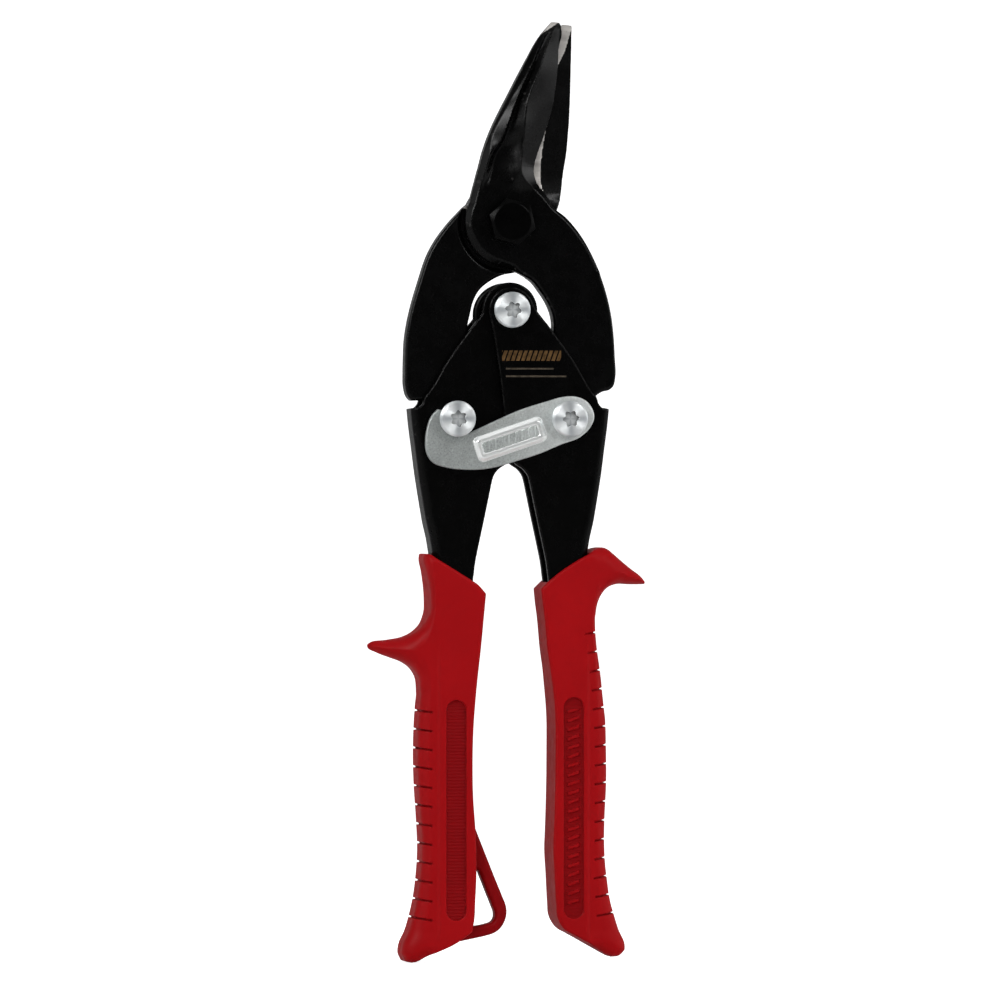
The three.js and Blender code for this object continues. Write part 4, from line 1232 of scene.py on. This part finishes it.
# x where the right grooves stop, given for some of the 16 and interpolated for the rest
right_ends = np.interp(np.arange(16), [0, 1, 2, 3, 4, 5, 6, 12, 13, 14, 15],
                       [19.2, 20.1, 20.6, 21.2, 21.5, 21.9, 22.1, 22.0, 21.8, 22.2, 22.6])
make_grip("grip_right_moulding", 1, RIGHT_GRIP, RIGHT_GUARD, TONGUE,
          channel_y=(CHANNEL_FRONT, CHANNEL_BACK),
          grooves=[-108.35 - 4.95 * i for i in range(16)], groove_ends=right_ends,
          panel=(13.7, 19.0, -183.6, -125.3), band_x=19.6,
          body="right_handle_body", part="right_grip")


# ------------------------------------------------------------------ floor (metres from here on)
def floor_material():
    """Pale matt floor that also glows towards the camera."""
    s = Shader("pale_floor")
    cloud = s.remap(s.noise(scale=3, detail=3))
    s.surface(Base_Color=s.mix(cloud, (0.86, 0.86, 0.86), (0.90, 0.90, 0.90)),
              Roughness=0.9, Specular_IOR_Level=0.1)
    glow = s.add("Emission")
    glow.inputs["Strength"].default_value = 0.90
    both = s.add("AddShader")
    plain = s.principled.outputs[0]
    s.feed(both.inputs[0], plain)
    s.feed(both.inputs[1], glow.outputs[0])
    s.mix_shaders(s.add("LightPath").outputs["Is Camera Ray"], plain, both.outputs[0])
    return s.material


def floor():
    """Flat floor that sweeps up into a back wall."""
    floor_z, half_width, front, bend, bend_r, wall_top = -0.1952, 4, -2.6, 1.2, 0.9, 3.2
    rows = [(front, 0.0), (bend, 0.0)]
    rows += [(bend + bend_r * math.sin(t), bend_r - bend_r * math.cos(t))
             for t in np.linspace(0.1, math.pi / 2, 12)]
    rows.append((bend + bend_r, wall_top))
    points = [(x, y, floor_z + z) for y, z in rows for x in (-half_width, half_width)]
    faces = [(2 * i, 2 * i + 1, 2 * i + 3, 2 * i + 2) for i in range(len(rows) - 1)]
    mesh = bpy.data.meshes.new("floor")
    mesh.from_pydata(points, [], faces)
    mesh.polygons.foreach_set("use_smooth", [True] * len(mesh.polygons))
    mesh.materials.append(floor_material())
    add_object("floor", mesh)


floor()


# ------------------------------------------------------------------ world and lights
def world():
    """White to the camera, even light on surfaces, bright walls and ceiling in reflections."""
    right_wall, left_wall, ceiling, dark, ambient = 2.7, 0.48 * 2.7, 0.9, 0.03, 0.27
    studio = bpy.data.worlds.new("studio")
    bpy.context.scene.world = studio
    t = Tree(studio, "OutputWorld")
    seen, fill = t.add("Background"), t.add("Background")
    for background in (seen, fill):
        background.inputs[0].default_value = (1, 1, 1, 1)
    t.locate("Generated")
    axes = t.separate()

    def bright(value, start, strength):
        return t.remap(value, to=(0.0, strength), span=(start, 0.98), interpolation="SMOOTHSTEP")

    walls = t.math("ADD", bright(axes["X"], 0.80, right_wall),
                   bright(t.times(axes["X"], -1.0), 0.80, left_wall))
    room = t.math("ADD", t.math("ADD", walls, bright(axes["Z"], 0.70, ceiling)), dark)
    path = t.add("LightPath").outputs
    glossy = path["Is Glossy Ray"]
    not_glossy = t.math("SUBTRACT", 1.0, glossy)
    strength = t.math("ADD", t.times(room, glossy), t.times(not_glossy, ambient))
    t.feed(fill.inputs[1], strength)
    t.mix_shaders(path["Is Camera Ray"], fill.outputs[0], seen.outputs[0])


def aim(ob, target):
    ob.rotation_euler = (Vector(target) - ob.location).to_track_quat("-Z", "Y").to_euler()


# name, location, width, height, power
SOFT_LIGHTS = (
    ("key_left", (-0.60, -0.95, 0.55), 0.6, 0.8, 4.9),
    ("side_left", (-1.05, -0.20, -0.05), 0.5, 0.9, 2.4),
    ("side_right", (1.05, -0.20, -0.05), 0.5, 0.9, 3.4),
    ("fill_right", (0.90, -0.75, 0.10), 0.5, 1.0, 3.2),
    ("top", (0.05, -0.35, 1.00), 0.8, 0.5, 2.6))
REFLECTION_CARDS = (
    ("card_upper_left", (-0.50, -0.88, 0.52), 0.20, 0.24, 3.2),
    ("card_upper_right", (0.58, -0.84, 0.44), 0.20, 0.24, 3.0),
    ("card_lower_left", (-0.50, -0.88, -0.52), 0.20, 0.20, 2.6),
    ("card_lower_right", (0.58, -0.84, -0.52), 0.20, 0.20, 2.6),
    ("card_left", (-0.87, -0.58, 0.48), 0.30, 0.42, 7.5))
LIGHT_TARGET = (0, 0.008, -0.07)

world()
for hidden, rows in (("visible_glossy", SOFT_LIGHTS), ("visible_diffuse", REFLECTION_CARDS)):
    for name, location, width, height, power in rows:
        light = bpy.data.lights.new(name, "AREA")
        light.shape = "RECTANGLE"
        light.size, light.size_y = width, height
        light.energy = power
        lamp = add_object(name, light)
        lamp.location = location
        aim(lamp, LIGHT_TARGET)
        setattr(lamp, hidden, False)


# ------------------------------------------------------------------ camera
def camera():
    """Looks level from the front, a little from the left."""
    azimuth = math.radians(10.0)
    distance, view_width, sensor = 2.4, 0.264, 36.0     # metres, metres, millimetres
    shift_right, shift_up = -0.0020064, -0.07326        # of the target from the main pivot
    view = np.array([math.sin(azimuth), math.cos(azimuth), 0.0])
    right = np.array([math.cos(azimuth), -math.sin(azimuth), 0.0])
    target = np.array([0, FACE * 0.001, 0]) + right * shift_right + np.array([0, 0, shift_up])
    data = bpy.data.cameras.new("camera")
    cam = add_object("camera", data)
    cam.location = tuple(target - view * distance)
    aim(cam, tuple(target))
    data.sensor_width = sensor
    data.lens = sensor * distance / view_width
    data.clip_end = 20
    bpy.context.scene.camera = cam


camera()
bpy.context.scene.view_settings.view_transform = "Standard"
bpy.context.scene.view_settings.look = "None"
